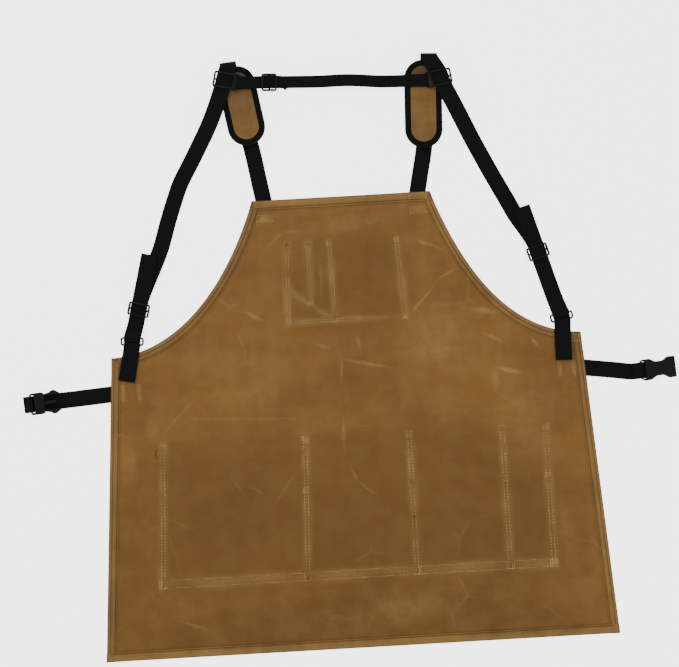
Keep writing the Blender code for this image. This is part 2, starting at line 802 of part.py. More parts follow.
def cut_bar(shop, body, place, z_low, height, middle):
    """Cut the slot behind a buckle's strap bar, and thin the bar to its size."""
    opening = STRAP_WIDTH / 2 + SIDE_CLEARANCE / 2
    slot_end = BUCKLE_BAR / 2 + BUCKLE_SLOT
    low, high = z_low - CUT_SPARE, z_low + height + CUT_SPARE
    slot = block((-opening, BUCKLE_BAR / 2, low), (opening, slot_end, high), place)
    shop.cutter(slot, body)
    back = -BUCKLE_BAR / 2 - CUT_SPARE
    for start, end in ((low, middle - BUCKLE_BAR / 2), (middle + BUCKLE_BAR / 2, high)):
        waste = block((GAP - opening, back, start), (opening - GAP, slot_end - GAP, end), place)
        shop.cutter(waste, body)


def add_male_side(shop):
    """The left waist strap, folded at its end, and the buckle half that lies back on it."""
    route = waist_route(LEFT_WAIST, -1)
    add_waist_anchor(shop, "left", route, -1)
    end = route[-1]
    outward = Vector((-cos(BUCKLE_HEADING), -sin(BUCKLE_HEADING), 0.0))
    inward = -outward
    bar_side = across(outward)
    eye = eye_radius(BUCKLE_BAR)
    first_z = FLOOR_Z + LAYER
    bar = end + Vector((0, 0, first_z + eye))
    fold = end + outward * MALE_FOLD + Vector((0, 0, (FLOOR_Z + first_z) / 2))
    top = Vector((0, 0, first_z + LAYER))
    stations = waist_start(route, -1)
    stations += [(end + Vector((0, 0, FLOOR_Z)), bar_side)]
    stations += wrap(fold, LAYER / 2, outward, bar_side, 6)
    stations += wrap(bar, eye, inward, bar_side)
    stations += [
        (end + outward * (MALE_FOLD - CUT_SPARE) + top, bar_side),
        (end + outward * MALE_FOLD + top, bar_side),
    ]
    add_waist_strap(shop, "left", route, stations)

    place = placed(end, inward)
    z_low = bar.z - MALE_HEIGHT / 2
    half = MALE_WIDTH / 2
    outline = rounded_rectangle(-half, half, -BUCKLE_BAR / 2, MALE_BODY, MALE_CORNER)
    mesh = slab(outline, z_low, MALE_HEIGHT, place)
    body = shop.piece("buckle_male", mesh, PLASTIC_BLACK, 0.35)
    cut_bar(shop, body, place, z_low, MALE_HEIGHT, bar.z)
    root = MALE_BODY - MALE_CORNER
    guide_half = GUIDE_WIDTH / 2
    guide = rounded_rectangle(-guide_half, guide_half, root, MALE_BODY + GUIDE_LENGTH, GUIDE_TIP)
    shop.cutter(slab(guide, bar.z - PRONG_HEIGHT / 2, PRONG_HEIGHT, place), body, "UNION")
    pivot_at(body, bar)
    for name, hand in (("upper", -1), ("lower", 1)):
        add_prong(shop, name, hand, place, bar.z)


def add_prong(shop, name, hand, place, middle):
    """One springy prong of the male half, with its origin at its root."""
    root = place @ Matrix.Translation((hand * PRONG_SPREAD, MALE_BODY + GAP, 0.0))
    head = 0.55 * PRONG_LENGTH
    half = PRONG_WIDTH / 2
    tip = PRONG_TIP / 2
    bulge = half + PRONG_BULGE
    outline = [
        (-half, 0.0),
        (half, 0.0),
        (half + 0.35 * PRONG_BULGE, 0.6 * head),
        (bulge, head),
        (half + 0.9 * PRONG_BULGE, 0.7 * PRONG_LENGTH),
        (tip, PRONG_LENGTH),
        (-tip, PRONG_LENGTH),
        (0.2 * PRONG_BULGE - half, head),
    ]
    if hand < 0:
        outline = [(-x, y) for x, y in reversed(outline)]
    prong = slab(outline, middle - PRONG_HEIGHT / 2, PRONG_HEIGHT)
    made = shop.piece(f"buckle_prong_{name}", prong, PLASTIC_BLACK, 0.35)
    made.matrix_world = root


def female_outline():
    """Outline of the female half: wide at its bar and mouth, waisted where the prongs show."""
    half = FEMALE_WIDTH / 2
    neck = FEMALE_NECK / 2
    back = -BUCKLE_BAR / 2
    corner = CORNER_RADIUS / 3
    shoulder = 0.26 * FEMALE_LENGTH
    waist = 0.50 * FEMALE_LENGTH
    flare = 0.60 * FEMALE_LENGTH
    mouth = 0.82 * FEMALE_LENGTH
    edge = [Vector((half - CORNER_RADIUS, back)), Vector((half - corner, back + 2 * corner))]
    edge += [Vector((half, back + CORNER_RADIUS + 2 * corner))]
    edge += bezier(
        Vector((half, shoulder)),
        Vector((0.8 * half, (shoulder + waist) / 2)),
        Vector((neck, (shoulder + waist) / 2)),
        Vector((neck, waist)),
        5,
    )
    edge += bezier(
        Vector((neck, flare)),
        Vector((neck, (flare + mouth) / 2)),
        Vector((half, (flare + mouth) / 2)),
        Vector((half, mouth)),
        5,
    )
    edge += [Vector((half, FEMALE_LENGTH - corner)), Vector((half - corner, FEMALE_LENGTH))]
    return edge + [Vector((-p.x, p.y)) for p in reversed(edge)]


def add_female_side(shop):
    """The right waist strap with its sewn fold-back, and the buckle half with the mouth."""
    route = waist_route(RIGHT_WAIST, 1)
    add_waist_anchor(shop, "right", route, 1)
    end = route[-1]
    outward = Vector((cos(BUCKLE_HEADING), sin(BUCKLE_HEADING), 0.0))
    bar_side = across(outward)
    eye = eye_radius(BUCKLE_BAR)
    z_low = GAP
    bar = end + Vector((0, 0, z_low + FEMALE_HEIGHT / 2))
    foot = end - outward * FOLD_BACK + Vector((0, 0, FLOOR_Z + GAP))
    stations = waist_start(route, 1)
    stations += [(foot, bar_side)]
    stations += wrap(bar, eye, outward, bar_side)
    stations += [
        (bar - outward * (FOLD_BACK - 2 * CUT_SPARE) + Vector((0, 0, LAYER - eye)), bar_side),
        (foot + Vector((0, 0, LAYER)), bar_side),
    ]
    add_waist_strap(shop, "right", route, stations)

    place = placed(end, outward)
    mesh = slab(female_outline(), z_low, FEMALE_HEIGHT, place)
    shell = shop.piece("buckle_female", mesh, PLASTIC_BLACK, 0.35)
    cut_bar(shop, shell, place, z_low, FEMALE_HEIGHT, bar.z)
    mouth = block(
        (-MOUTH_WIDTH / 2, FEMALE_LENGTH - MOUTH_DEPTH, z_low + FEMALE_WALL),
        (MOUTH_WIDTH / 2, FEMALE_LENGTH + CUT_SPARE, z_low + FEMALE_HEIGHT - FEMALE_WALL),
        place,
    )
    shop.cutter(mouth, shell)
    pivot_at(shell, bar)


def main():
    """Build every piece."""
    shop = Workshop()
    add_panel(shop)
    add_pockets(shop)
    for side in (LEFT, RIGHT):
        add_harness_webbing(shop, side)
        add_pad(shop, side)
        add_hardware(shop, side)
        add_ring(shop, side)
        add_ring_loop(shop, side)
    add_cross_strap(shop)
    add_male_side(shop)
    add_female_side(shop)


main()
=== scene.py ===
"""Looks of a waxed canvas tool apron with a padded webbing harness, lying body side up.

Each sub-assembly is a class that holds its sizes and builds its pieces. Each finish is a frozen
dataclass. All sizes are in metres, in the frame of the CAD model: +X across the apron, +Y from the
hem to the bib and +Z from the pockets to the side worn against the body.
"""

import logging
import math
from dataclasses import dataclass
from enum import Enum
from typing import Callable, Iterable, Sequence

import bpy
import numpy as np
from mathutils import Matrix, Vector


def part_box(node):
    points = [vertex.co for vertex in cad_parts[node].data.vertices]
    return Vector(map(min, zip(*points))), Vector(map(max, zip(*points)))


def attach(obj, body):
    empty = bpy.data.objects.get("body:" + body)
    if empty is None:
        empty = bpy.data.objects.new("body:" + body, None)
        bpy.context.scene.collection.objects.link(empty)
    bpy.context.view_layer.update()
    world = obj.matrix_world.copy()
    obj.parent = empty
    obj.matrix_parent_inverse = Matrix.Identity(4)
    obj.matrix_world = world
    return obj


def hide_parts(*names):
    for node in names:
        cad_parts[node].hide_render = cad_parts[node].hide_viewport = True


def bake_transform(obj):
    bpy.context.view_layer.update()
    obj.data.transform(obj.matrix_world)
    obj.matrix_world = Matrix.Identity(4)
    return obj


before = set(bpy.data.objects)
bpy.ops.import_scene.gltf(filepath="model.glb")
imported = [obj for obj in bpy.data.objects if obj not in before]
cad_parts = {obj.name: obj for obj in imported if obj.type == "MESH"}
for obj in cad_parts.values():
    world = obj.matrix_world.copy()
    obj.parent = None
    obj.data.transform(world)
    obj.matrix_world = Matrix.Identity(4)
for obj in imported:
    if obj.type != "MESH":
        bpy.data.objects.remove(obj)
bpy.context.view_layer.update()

LOG = logging.getLogger("apron")

Colour = tuple[float, float, float]
Plan = tuple[float, float]
Array = np.ndarray
Socket = bpy.types.NodeSocket
Piece = bpy.types.Object
Material = bpy.types.Material

# Layers, as in the CAD model
CANVAS = 0.0009
WEBBING = 0.0012
GAP = 0.0003
LAYER = WEBBING + GAP
HEM_RISE = 0.0012
PANEL_Z = 0.0024
PANEL_TOP = PANEL_Z + CANVAS
HEM_TOP = PANEL_TOP + HEM_RISE
FLOOR_Z = WEBBING / 2
SEWN_Z = PANEL_Z - GAP - WEBBING / 2
FOLD_WIDTH = 0.014
WEB_WIDTH = 0.0240
BODY = "apron"


class Side(Enum):
    """The two sides of the apron, with the sign of X on each."""

    LEFT = -1
    RIGHT = 1

    @property
    def tag(self) -> str:
        """Name ending of the pieces on this side."""
        return self.name.lower()


# ---------------------------------------------------------------- modelling helpers


def choose(piece: Piece) -> None:
    """Select one object alone and make it active.

    Args:
        piece: The object.
    """
    bpy.ops.object.select_all(action="DESELECT")
    piece.select_set(True)
    bpy.context.view_layer.objects.active = piece


def finish_modifiers(piece: Piece) -> None:
    """Apply every modifier of an object, in order.

    Args:
        piece: The object.
    """
    choose(piece)
    for step in list(piece.modifiers):
        bpy.ops.object.modifier_apply(modifier=step.name)


def clean(piece: Piece, merge: float = 1e-6, caps: bool = False) -> None:
    """Merge doubled points, close open ends and turn the faces outwards.

    Args:
        piece: The object.
        merge: Distance within which points are merged.
        caps: Whether open ends are filled.
    """
    choose(piece)
    bpy.ops.object.mode_set(mode="EDIT")
    bpy.ops.mesh.select_all(action="SELECT")
    bpy.ops.mesh.remove_doubles(threshold=merge)
    if caps:
        bpy.ops.mesh.select_all(action="DESELECT")
        bpy.ops.mesh.select_mode(type="VERT")
        bpy.ops.mesh.select_non_manifold()
        bpy.ops.mesh.fill_holes(sides=0)
    bpy.ops.mesh.select_all(action="SELECT")
    bpy.ops.mesh.normals_make_consistent(inside=False)
    bpy.ops.object.mode_set(mode="OBJECT")


def smooth(piece: Piece, angle: float = 40.0) -> None:
    """Shade a piece smooth, and keep the edges that are sharper than an angle.

    Args:
        piece: The object.
        angle: Angle in degrees.
    """
    choose(piece)
    bpy.ops.object.shade_smooth_by_angle(angle=math.radians(angle))


def positions(piece: Piece) -> Array:
    """Vertex positions of a piece, one row each."""
    flat = np.zeros(len(piece.data.vertices) * 3)
    piece.data.vertices.foreach_get("co", flat)
    return flat.reshape(-1, 3)


def put(piece: Piece, points: Array) -> None:
    """Move the vertices of a piece.

    Args:
        piece: The object.
        points: New positions, one row for each vertex.
    """
    piece.data.vertices.foreach_set("co", points.astype(np.float32).ravel())
    piece.data.update()


def mark(piece: Piece, name: str, values: Array) -> None:
    """Store a number on each vertex, for a material to read.

    Args:
        piece: The object.
        name: Attribute name.
        values: One number for each vertex.
    """
    layer = piece.data.attributes.new(name, "FLOAT", "POINT")
    layer.data.foreach_set("value", np.clip(values, 0.0, 1.0).astype(np.float32))


def grid_piece(
    name: str,
    along: Sequence[float],
    across: Sequence[float],
    place: Callable[[Array, Array], Array],
) -> Piece:
    """A grid primitive with its points put in place and its UV map in metres.

    Args:
        name: Name of the piece.
        along: Distance of each grid line along the piece.
        across: Distance of each grid line across it.
        place: Takes the line numbers of the points and gives their positions.

    Returns:
        The new object.
    """
    bpy.ops.object.select_all(action="DESELECT")
    long, wide = len(along) - 1, len(across) - 1
    bpy.ops.mesh.primitive_grid_add(x_subdivisions=long, y_subdivisions=wide, size=2.0)
    piece = bpy.context.active_object
    piece.name = piece.data.name = name
    spots = positions(piece)
    i = np.rint((spots[:, 0] + 1.0) / 2.0 * long).astype(int)
    j = np.rint((spots[:, 1] + 1.0) / 2.0 * wide).astype(int)
    put(piece, place(i, j))
    corners = np.zeros(len(piece.data.loops), dtype=np.int32)
    piece.data.loops.foreach_get("vertex_index", corners)
    map_points = np.stack([np.asarray(across)[j], np.asarray(along)[i]], axis=1)[corners]
    piece.data.uv_layers.active.data.foreach_set("uv", map_points.astype(np.float32).ravel())
    return piece


def lengths(points: Array) -> Array:
    """Distance along a line of points, from 0 at the first."""
    steps = np.linalg.norm(np.diff(points, axis=0), axis=1)
    return np.concatenate([[0.0], np.cumsum(steps)])


def sweep(
    name: str,
    centres: Array,
    sides: Array,
    ups: Array,
    profile: Array,
    ring: bool = False,
) -> Piece:
    """A closed profile carried along a line.

    Args:
        name: Name of the piece.
        centres: Points of the line.
        sides: Direction of the profile's first axis at each point.
        ups: Direction of its second axis.
        profile: Points of the closed profile.
        ring: Whether the line closes on itself.

    Returns:
        The new object, closed.
    """
    outline = np.vstack([profile, profile[:1]])
    if ring:
        centres, sides, ups = (np.vstack([a, a[:1]]) for a in (centres, sides, ups))

    def place(i: Array, j: Array) -> Array:
        """Position of each crossing point."""
        return centres[i] + sides[i] * outline[j, :1] + ups[i] * outline[j, 1:]

    piece = grid_piece(name, lengths(centres), lengths(outline), place)
    clean(piece, caps=not ring)
    return piece


def spline(points: Array, step: float) -> tuple[Array, Array]:
    """A centripetal Catmull-Rom line through points.

    Args:
        points: The points.
        step: Longest distance between samples.

    Returns:
        The samples, and the place of each one counted in points.
    """
    first, last = 2 * points[0] - points[1], 2 * points[-1] - points[-2]
    p = np.vstack([first, points, last])
    samples, places = [], []
    for n in range(1, len(p) - 2):
        a, b, c, d = p[n - 1 : n + 3]
        t0 = 0.0
        t1 = t0 + math.sqrt(np.linalg.norm(b - a))
        t2 = t1 + math.sqrt(np.linalg.norm(c - b))
        t3 = t2 + math.sqrt(np.linalg.norm(d - c))
        count = max(1, math.ceil(np.linalg.norm(c - b) / step))
        for k in range(count):
            t = t1 + (t2 - t1) * k / count
            ab = a * (t1 - t) / (t1 - t0) + b * (t - t0) / (t1 - t0)
            bc = b * (t2 - t) / (t2 - t1) + c * (t - t1) / (t2 - t1)
            cd = c * (t3 - t) / (t3 - t2) + d * (t - t2) / (t3 - t2)
            abc = ab * (t2 - t) / (t2 - t0) + bc * (t - t0) / (t2 - t0)
            bcd = bc * (t3 - t) / (t3 - t1) + cd * (t - t1) / (t3 - t1)
            samples.append(abc * (t2 - t) / (t2 - t1) + bcd * (t - t1) / (t2 - t1))
            places.append(n - 1 + k / count)
    samples.append(points[-1])
    places.append(len(points) - 1)
    return np.array(samples), np.array(places)


def eased(t: Array) -> Array:
    """A smooth step from 0 to 1."""
    return t * t * (3.0 - 2.0 * t)


def unit(vectors: Array) -> Array:
    """The same directions with length 1."""
    return vectors / np.maximum(np.linalg.norm(vectors, axis=-1, keepdims=True), 1e-12)


def evenly(points: Array, step: float) -> Array:
    """Points at even steps along a line.

    Args:
        points: The line.
        step: Distance between the new points.

    Returns:
        The new points, the two ends included.
    """
    run = lengths(points)
    count = max(2, round(run[-1] / step) + 1)
    marks = np.linspace(0.0, run[-1], count)
    return np.stack([np.interp(marks, run, points[:, k]) for k in range(points.shape[1])], axis=1)


def inward_of(line: Array, side: int) -> Array:
    """Unit plan directions square to a line.

    Args:
        line: Plan points.
        side: 1 for the left of the line, -1 for its right.

    Returns:
        One direction for each point.
    """
    run = unit(np.gradient(line, axis=0))
    return side * np.stack([-run[:, 1], run[:, 0]], axis=1)


def raised(plan_points: Array, z: float | Array) -> Array:
    """Plan points with a height."""
    heights = np.broadcast_to(z, (len(plan_points),))
    return np.column_stack([plan_points, heights])


def settle(
    piece: Piece, finish: Material, slot: str, body: str, *nodes: str
) -> Piece:
    """Dress a piece, let it ride on its body and hide the CAD nodes that it stands for.

    Args:
        piece: The object.
        finish: Its material.
        slot: Not used.
        body: The CAD body that it rides on.
        nodes: The CAD nodes that it stands for.

    Returns:
        The same object.
    """
    piece.data.materials.clear()
    piece.data.materials.append(finish)
    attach(piece, body)
    if nodes:
        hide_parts(*nodes)
    LOG.info("%s: %d faces", piece.name, len(piece.data.polygons))
    return piece


# ---------------------------------------------------------------- finishes


class Graph:
    """Adds and links the nodes of one material."""

    def __init__(self, name: str) -> None:
        """Start a material with a Principled shader.

        Args:
            name: Name of the material.
        """
        self.material = bpy.data.materials.new(name)
        self.material.use_nodes = True
        self.tree = self.material.node_tree
        self.shader = self.tree.nodes["Principled BSDF"]

    def add(self, kind: str, feeds: dict, **settings: object) -> bpy.types.Node:
        """Add a node.

        Args:
            kind: Node type, without its ShaderNode prefix.
            feeds: Input sockets, each with a socket to link or a value.
            settings: Properties of the node.

        Returns:
            The node.
        """
        node = self.tree.nodes.new("ShaderNode" + kind)
        for key, value in settings.items():
            setattr(node, key, value)
        for socket, value in feeds.items():
            if isinstance(value, Socket):
                self.tree.links.new(value, node.inputs[socket])
            else:
                node.inputs[socket].default_value = value
        return node

    def place(self, output: str = "Object") -> Socket:
        """Object coordinates or the UV map."""
        return self.add("TexCoord", {}).outputs[output]

    def noise(
        self, where: Socket, scale: float, detail: float = 4.0, rough: float = 0.55
    ) -> Socket:
        """A noise pattern around 0.5.

        Args:
            where: Coordinates.
            scale: Features to a metre.
            detail: Octaves.
            rough: Weight of each finer octave.

        Returns:
            The pattern's value.
        """
        feeds = {"Vector": where, "Scale": scale, "Detail": detail, "Roughness": rough}
        return self.add("TexNoise", feeds).outputs[0]

    def waves(
        self, where: Socket, pitch: float, axis: str, distortion: float = 0.0
    ) -> Socket:
        """Bands at a pitch along an axis of the coordinates."""
        feeds = {"Vector": where, "Scale": math.pi / 10 / pitch, "Distortion": distortion}
        return self.add("TexWave", feeds, bands_direction=axis).outputs["Fac"]

    def sum(
        self, operation: str, a: object, b: object, clamp: bool = False
    ) -> Socket:
        """A Math node on two values."""
        return self.add("Math", {0: a, 1: b}, operation=operation, use_clamp=clamp).outputs[0]

    def span(
        self, value: Socket, low: float, high: float, to: Plan = (0.0, 1.0)
    ) -> Socket:
        """A smooth step from low to high, given between the two values of to."""
        feeds = {"Value": value, 1: low, 2: high, 3: to[0], 4: to[1]}
        return self.add("MapRange", feeds, interpolation_type="SMOOTHSTEP").outputs[0]

    def blend(self, share: object, a: object, b: object) -> Socket:
        """A mix of two colours."""
        a, b = (c if isinstance(c, Socket) else (*c, 1.0) for c in (a, b))
        return self.add("Mix", {0: share, 6: a, 7: b}, data_type="RGBA").outputs[2]

    def stored(self, name: str) -> Socket:
        """A number stored on the piece."""
        return self.add("Attribute", {}, attribute_name=name).outputs["Fac"]

    def bump(
        self,
        height: Socket,
        distance: float,
        strength: float = 1.0,
        under: Socket | None = None,
    ) -> Socket:
        """A bump of a real height, laid over another one.

        Args:
            height: Height pattern from 0 to 1.
            distance: Height in metres.
            strength: Share of it that is used.
            under: Normal of the bump beneath.

        Returns:
            The normal.
        """
        feeds = {"Height": height, "Distance": distance, "Strength": strength}
        if under is not None:
            feeds["Normal"] = under
        return self.add("Bump", feeds).outputs[0]

    def close(
        self, colour: object, roughness: object, normal: object, **fixed: float
    ) -> Material:
        """Feed the shader.

        Args:
            colour: Base colour, a socket or a colour.
            roughness: A socket or a number.
            normal: The normal's socket.
            fixed: Other inputs, with underscores for spaces.

        Returns:
            The finished material.
        """
        feeds = {"Base Color": colour, "Roughness": roughness, "Normal": normal}
        feeds |= {key.replace("_", " "): value for key, value in fixed.items()}
        for name, value in feeds.items():
            if isinstance(value, Socket):
                self.tree.links.new(value, self.shader.inputs[name])
            else:
                fill = (*value, 1.0) if isinstance(value, tuple) else value
                self.shader.inputs[name].default_value = fill
        return self.material


@dataclass(frozen=True)
class Rub:
    """A pale rub or crease in the wax: its middle, half length, half width, turn and strength."""

    x: float
    y: float
    long: float
    wide: float
    turn: float = 0.0
    strength: float = 0.5


RUBS = (
    Rub(-0.096, 0.436, 0.022, 0.004, 42, 0.55),
    Rub(-0.072, 0.447, 0.016, 0.004, 0, 0.45),
    Rub(0.116, 0.338, 0.038, 0.0032, 49, 0.65),
    Rub(0.152, 0.372, 0.022, 0.0032, 30, 0.55),
    Rub(0.130, 0.417, 0.027, 0.004, -26, 0.50),
    Rub(-0.132, 0.326, 0.022, 0.005, -31, 0.55),
    Rub(0.019, 0.279, 0.004, 0.014, 10, 0.45),
    Rub(-0.034, 0.277, 0.015, 0.004, -12, 0.40),
    Rub(-0.009, 0.240, 0.0030, 0.026, -6, 0.50),
    Rub(0.033, 0.247, 0.052, 0.0040, -14, 0.45),
    Rub(-0.160, 0.178, 0.110, 0.0028, -3, 0.30),
    Rub(-0.031, 0.376, 0.0030, 0.052, 0, 0.34),
    Rub(-0.1083, 0.468, 0.017, 0.009, 0, 0.45),
    Rub(0.117, 0.468, 0.017, 0.009, 0, 0.50),
    Rub(-0.330, 0.2255, 0.0055, 0.020, 0, 0.45),
    Rub(-0.306, 0.2255, 0.0055, 0.020, 0, 0.45),
    Rub(0.310, 0.2255, 0.0055, 0.020, 0, 0.50),
    Rub(0.332, 0.2255, 0.0055, 0.020, 0, 0.50),
    Rub(0.204, 0.316, 0.030, 0.006, -12, 0.50),
    Rub(0.215, 0.213, 0.009, 0.024, 0, 0.34),
    Rub(0.236, 0.227, 0.028, 0.005, -14, 0.70),
    Rub(0.215, 0.276, 0.026, 0.005, -28, 0.45),
    Rub(0.277, 0.264, 0.013, 0.004, -58, 0.55),
    Rub(-0.145, 0.073, 0.018, 0.004, -30, 0.50),
    Rub(0.001, 0.087, 0.014, 0.003, -65, 0.60),
    Rub(0.022, 0.064, 0.023, 0.003, -36, 0.60),
    Rub(-0.011, 0.146, 0.004, 0.036, 0, 0.45),
    Rub(-0.246, -0.120, 0.030, 0.004, -20, 0.34),
    Rub(-0.032, -0.122, 0.028, 0.006, -8, 0.28),
    Rub(-0.327, 0.127, 0.018, 0.044, 5, 0.26),
    Rub(-0.291, 0.173, 0.014, 0.028, 15, 0.24),
    Rub(0.140, 0.270, 0.075, 0.060, 20, 0.30),
    Rub(0.250, 0.150, 0.060, 0.070, -20, 0.26),
    Rub(0.060, -0.115, 0.110, 0.035, 5, 0.22),
    Rub(-0.150, 0.230, 0.090, 0.050, -15, 0.18),
    Rub(0.310, -0.030, 0.022, 0.075, 8, 0.24),
    Rub(0.020, 0.455, 0.090, 0.016, 2, 0.22),
)


SHADES = (
    Rub(-0.020, -0.020, 0.450, 0.215, 0, 0.42),
    Rub(0.010, -0.010, 0.115, 0.110, 0, 0.55),
    Rub(0.000, -0.145, 0.400, 0.075, 0, 0.72),
    Rub(0.005, 0.368, 0.125, 0.095, 0, 0.38),
    Rub(0.035, 0.375, 0.050, 0.060, 0, 0.50),
    Rub(-0.190, 0.010, 0.090, 0.085, 0, 0.50),
    Rub(0.150, 0.010, 0.070, 0.090, 0, 0.50),
    Rub(0.000, 0.225, 0.060, 0.045, 20, 0.30),
)


@dataclass(frozen=True)
class Canvas:
    """Waxed cotton canvas, mottled where the wax has moved and pale where it is rubbed."""

    name: str
    base: Colour = (0.186, 0.0835, 0.0085)
    dark: Colour = (0.106, 0.0405, 0.0012)
    pale: Colour = (0.385, 0.232, 0.074)
    rubs: tuple[Rub, ...] = ()
    shades: tuple[Rub, ...] = ()
    roughness: float = 0.62
    pitch: float = 0.0011

    def make(self) -> Material:
        """Build the material."""
        g = Graph(self.name)
        where = g.place()
        broad = g.span(g.noise(where, 6.0, 3.0), 0.36, 0.66)
        across = g.add("Mapping", {"Vector": where, "Scale": (7.0, 34.0, 1.0)}).outputs[0]
        down = g.add("Mapping", {"Vector": where, "Scale": (34.0, 7.0, 1.0)}).outputs[0]
        streak = g.sum("MULTIPLY", g.noise(across, 1.0, 4.0), g.noise(down, 1.0, 4.0))
        cloud = g.span(g.noise(where, 24.0, 5.0, 0.62), 0.36, 0.66)
        grain = g.noise(where, 420.0, 3.0, 0.7)
        fine = g.noise(where, 1500.0, 2.0)
        colour = g.blend(g.sum("MULTIPLY", broad, 0.34), self.base, self.dark)
        colour = g.blend(g.span(streak, 0.18, 0.36, (0.0, 0.34)), colour, self.dark)
        colour = g.blend(self._shaded(g, where), colour, self.dark)
        colour = g.blend(g.sum("MULTIPLY", cloud, 0.10), colour, self.pale)
        worn = self._rubbed(g, where, cloud)
        worn = g.sum("MAXIMUM", worn, g.sum("MULTIPLY", g.stored("pale"), 0.85))
        worn = g.sum("MULTIPLY", worn, g.span(grain, 0.34, 0.60, (0.38, 1.0)))
        colour = g.blend(g.sum("MULTIPLY", worn, 0.78), colour, self.pale)
        # The stored dark mark darkens the panel over its pockets and the pocket layers below their
        # hems, and paints shade into the hem grooves, onto the rolled rims and onto the top ends of
        # the pads.
        colour = g.blend(g.sum("MULTIPLY", g.stored("dark"), 0.75), colour, self.dark)
        speck = g.span(fine, 0.35, 0.72, (0.0, 0.16))
        colour = g.blend(speck, colour, self.dark)
        warp = g.waves(where, self.pitch, "X", 0.6)
        weft = g.waves(where, self.pitch, "Y", 0.6)
        weave = g.sum("MULTIPLY", warp, weft)
        normal = g.bump(g.noise(where, 30.0, 5.0, 0.6), 0.0022, 0.35)
        normal = g.bump(grain, 0.0005, 0.30, normal)
        normal = g.bump(weave, 0.00018, 0.7, normal)
        dull = g.sum("ADD", g.sum("MULTIPLY", worn, 0.14), self.roughness)
        return g.close(colour, dull, normal, Specular_IOR_Level=0.32)

    def _spot(self, g: Graph, where: Socket, rub: Rub, soft: float) -> Socket:
        """One soft oval, from 0 at its rim to its strength inside."""
        feeds = {
            "Vector": where,
            "Location": (rub.x, rub.y, 0.0),
            "Rotation": (0.0, 0.0, math.radians(rub.turn)),
            "Scale": (rub.long, rub.wide, 1.0),
        }
        turned = g.add("Mapping", feeds, vector_type="TEXTURE").outputs[0]
        oval = g.add("TexGradient", {"Vector": turned}, gradient_type="SPHERICAL")
        return g.span(oval.outputs["Fac"], 0.0, soft, (0.0, rub.strength))

    def _shaded(self, g: Graph, where: Socket) -> Socket | float:
        """How dark the listed shades leave the wax."""
        total: Socket | float = 0.0
        for shade in self.shades:
            total = g.sum("MAXIMUM", total, self._spot(g, where, shade, 0.35))
        return total

    def _rubbed(
        self, g: Graph, where: Socket, cloud: Socket
    ) -> Socket:
        """How rubbed the wax is, from the listed rubs and a net of fine cracks."""
        wander = g.add("TexNoise", {"Vector": where, "Scale": 48.0, "Detail": 3.0}).outputs["Color"]
        middle = (0.5, 0.5, 0.5)
        shift = g.add("VectorMath", {0: wander, 1: middle}, operation="SUBTRACT").outputs[0]
        shift = g.add("VectorMath", {0: shift, "Scale": 0.006}, operation="SCALE").outputs[0]
        bent = g.add("VectorMath", {0: where, 1: shift}, operation="ADD").outputs[0]
        cells = g.add("TexVoronoi", {"Vector": bent, "Scale": 11.0}, feature="DISTANCE_TO_EDGE")
        crack = g.span(cells.outputs["Distance"], 0.0, 0.035, (1.0, 0.0))
        some = g.span(g.noise(where, 9.0, 2.0), 0.52, 0.66)
        total = g.sum("MULTIPLY", g.sum("MULTIPLY", crack, some), 0.26)
        for rub in self.rubs:
            total = g.sum("MAXIMUM", total, self._spot(g, bent, rub, 0.8))
        return g.sum("MULTIPLY", total, g.sum("ADD", g.sum("MULTIPLY", cloud, 0.6), 0.6), True)


@dataclass(frozen=True)
class Web:
    """Black woven webbing or tape, ribbed across, with its weave laid along the UV map."""

    name: str
    colour: Colour = (0.0030, 0.0032, 0.0033)
    lit: Colour = (0.0100, 0.0108, 0.0112)
    rib: float = 0.0017
    cord: float = 0.0014

    def make(self) -> Material:
        """Build the material."""
        g = Graph(self.name)
        where = g.place("UV")
        ribs = g.waves(where, self.rib, "Y", 0.8)
        cords = g.waves(where, self.cord, "X", 0.4)
        fuzz = g.noise(g.place(), 900.0, 3.0, 0.7)
        weave = g.sum("MULTIPLY", g.sum("ADD", ribs, 0.35), g.sum("ADD", cords, 0.5))
        shade = g.sum("MULTIPLY", weave, g.span(fuzz, 0.3, 0.7, (0.25, 0.8)))
        colour = g.blend(shade, self.colour, self.lit)
        normal = g.bump(weave, 0.00035, 0.8)
        normal = g.bump(fuzz, 0.0003, 0.35, normal)
        return g.close(colour, 0.88, normal, Specular_IOR_Level=0.06)


@dataclass(frozen=True)
class Moulded:
    """Moulded black plastic with a fine spark-eroded grain, its tint and gloss varied by a noise."""

    name: str
    colour: Colour = (0.0028, 0.0031, 0.0034)
    roughness: float = 0.42

    def make(self) -> Material:
        """Build the material."""
        g = Graph(self.name)
        where = g.place()
        grain = g.noise(where, 2200.0, 2.0)
        wear = g.noise(where, 160.0, 4.0, 0.6)
        dull = g.span(wear, 0.3, 0.7, (self.roughness - 0.06, self.roughness + 0.10))
        tint = g.blend(g.span(wear, 0.45, 0.8, (0.0, 0.5)), self.colour, (0.0065, 0.0070, 0.0076))
        return g.close(tint, dull, g.bump(grain, 0.00006, 0.5), Specular_IOR_Level=0.13)


@dataclass(frozen=True)
class Thread:
    """Spun polyester sewing thread, twisted along its stitches."""

    name: str
    colour: Colour = (0.26, 0.155, 0.050)
    lit: Colour = (0.50, 0.35, 0.16)

    def make(self) -> Material:
        """Build the material."""
        g = Graph(self.name)
        where = g.place()
        tone = g.span(g.noise(where, 60.0, 4.0), 0.35, 0.68)
        twist = g.noise(where, 2600.0, 2.0)
        colour = g.blend(tone, self.colour, self.lit)
        return g.close(colour, 0.8, g.bump(twist, 0.0001, 0.6), Specular_IOR_Level=0.1)


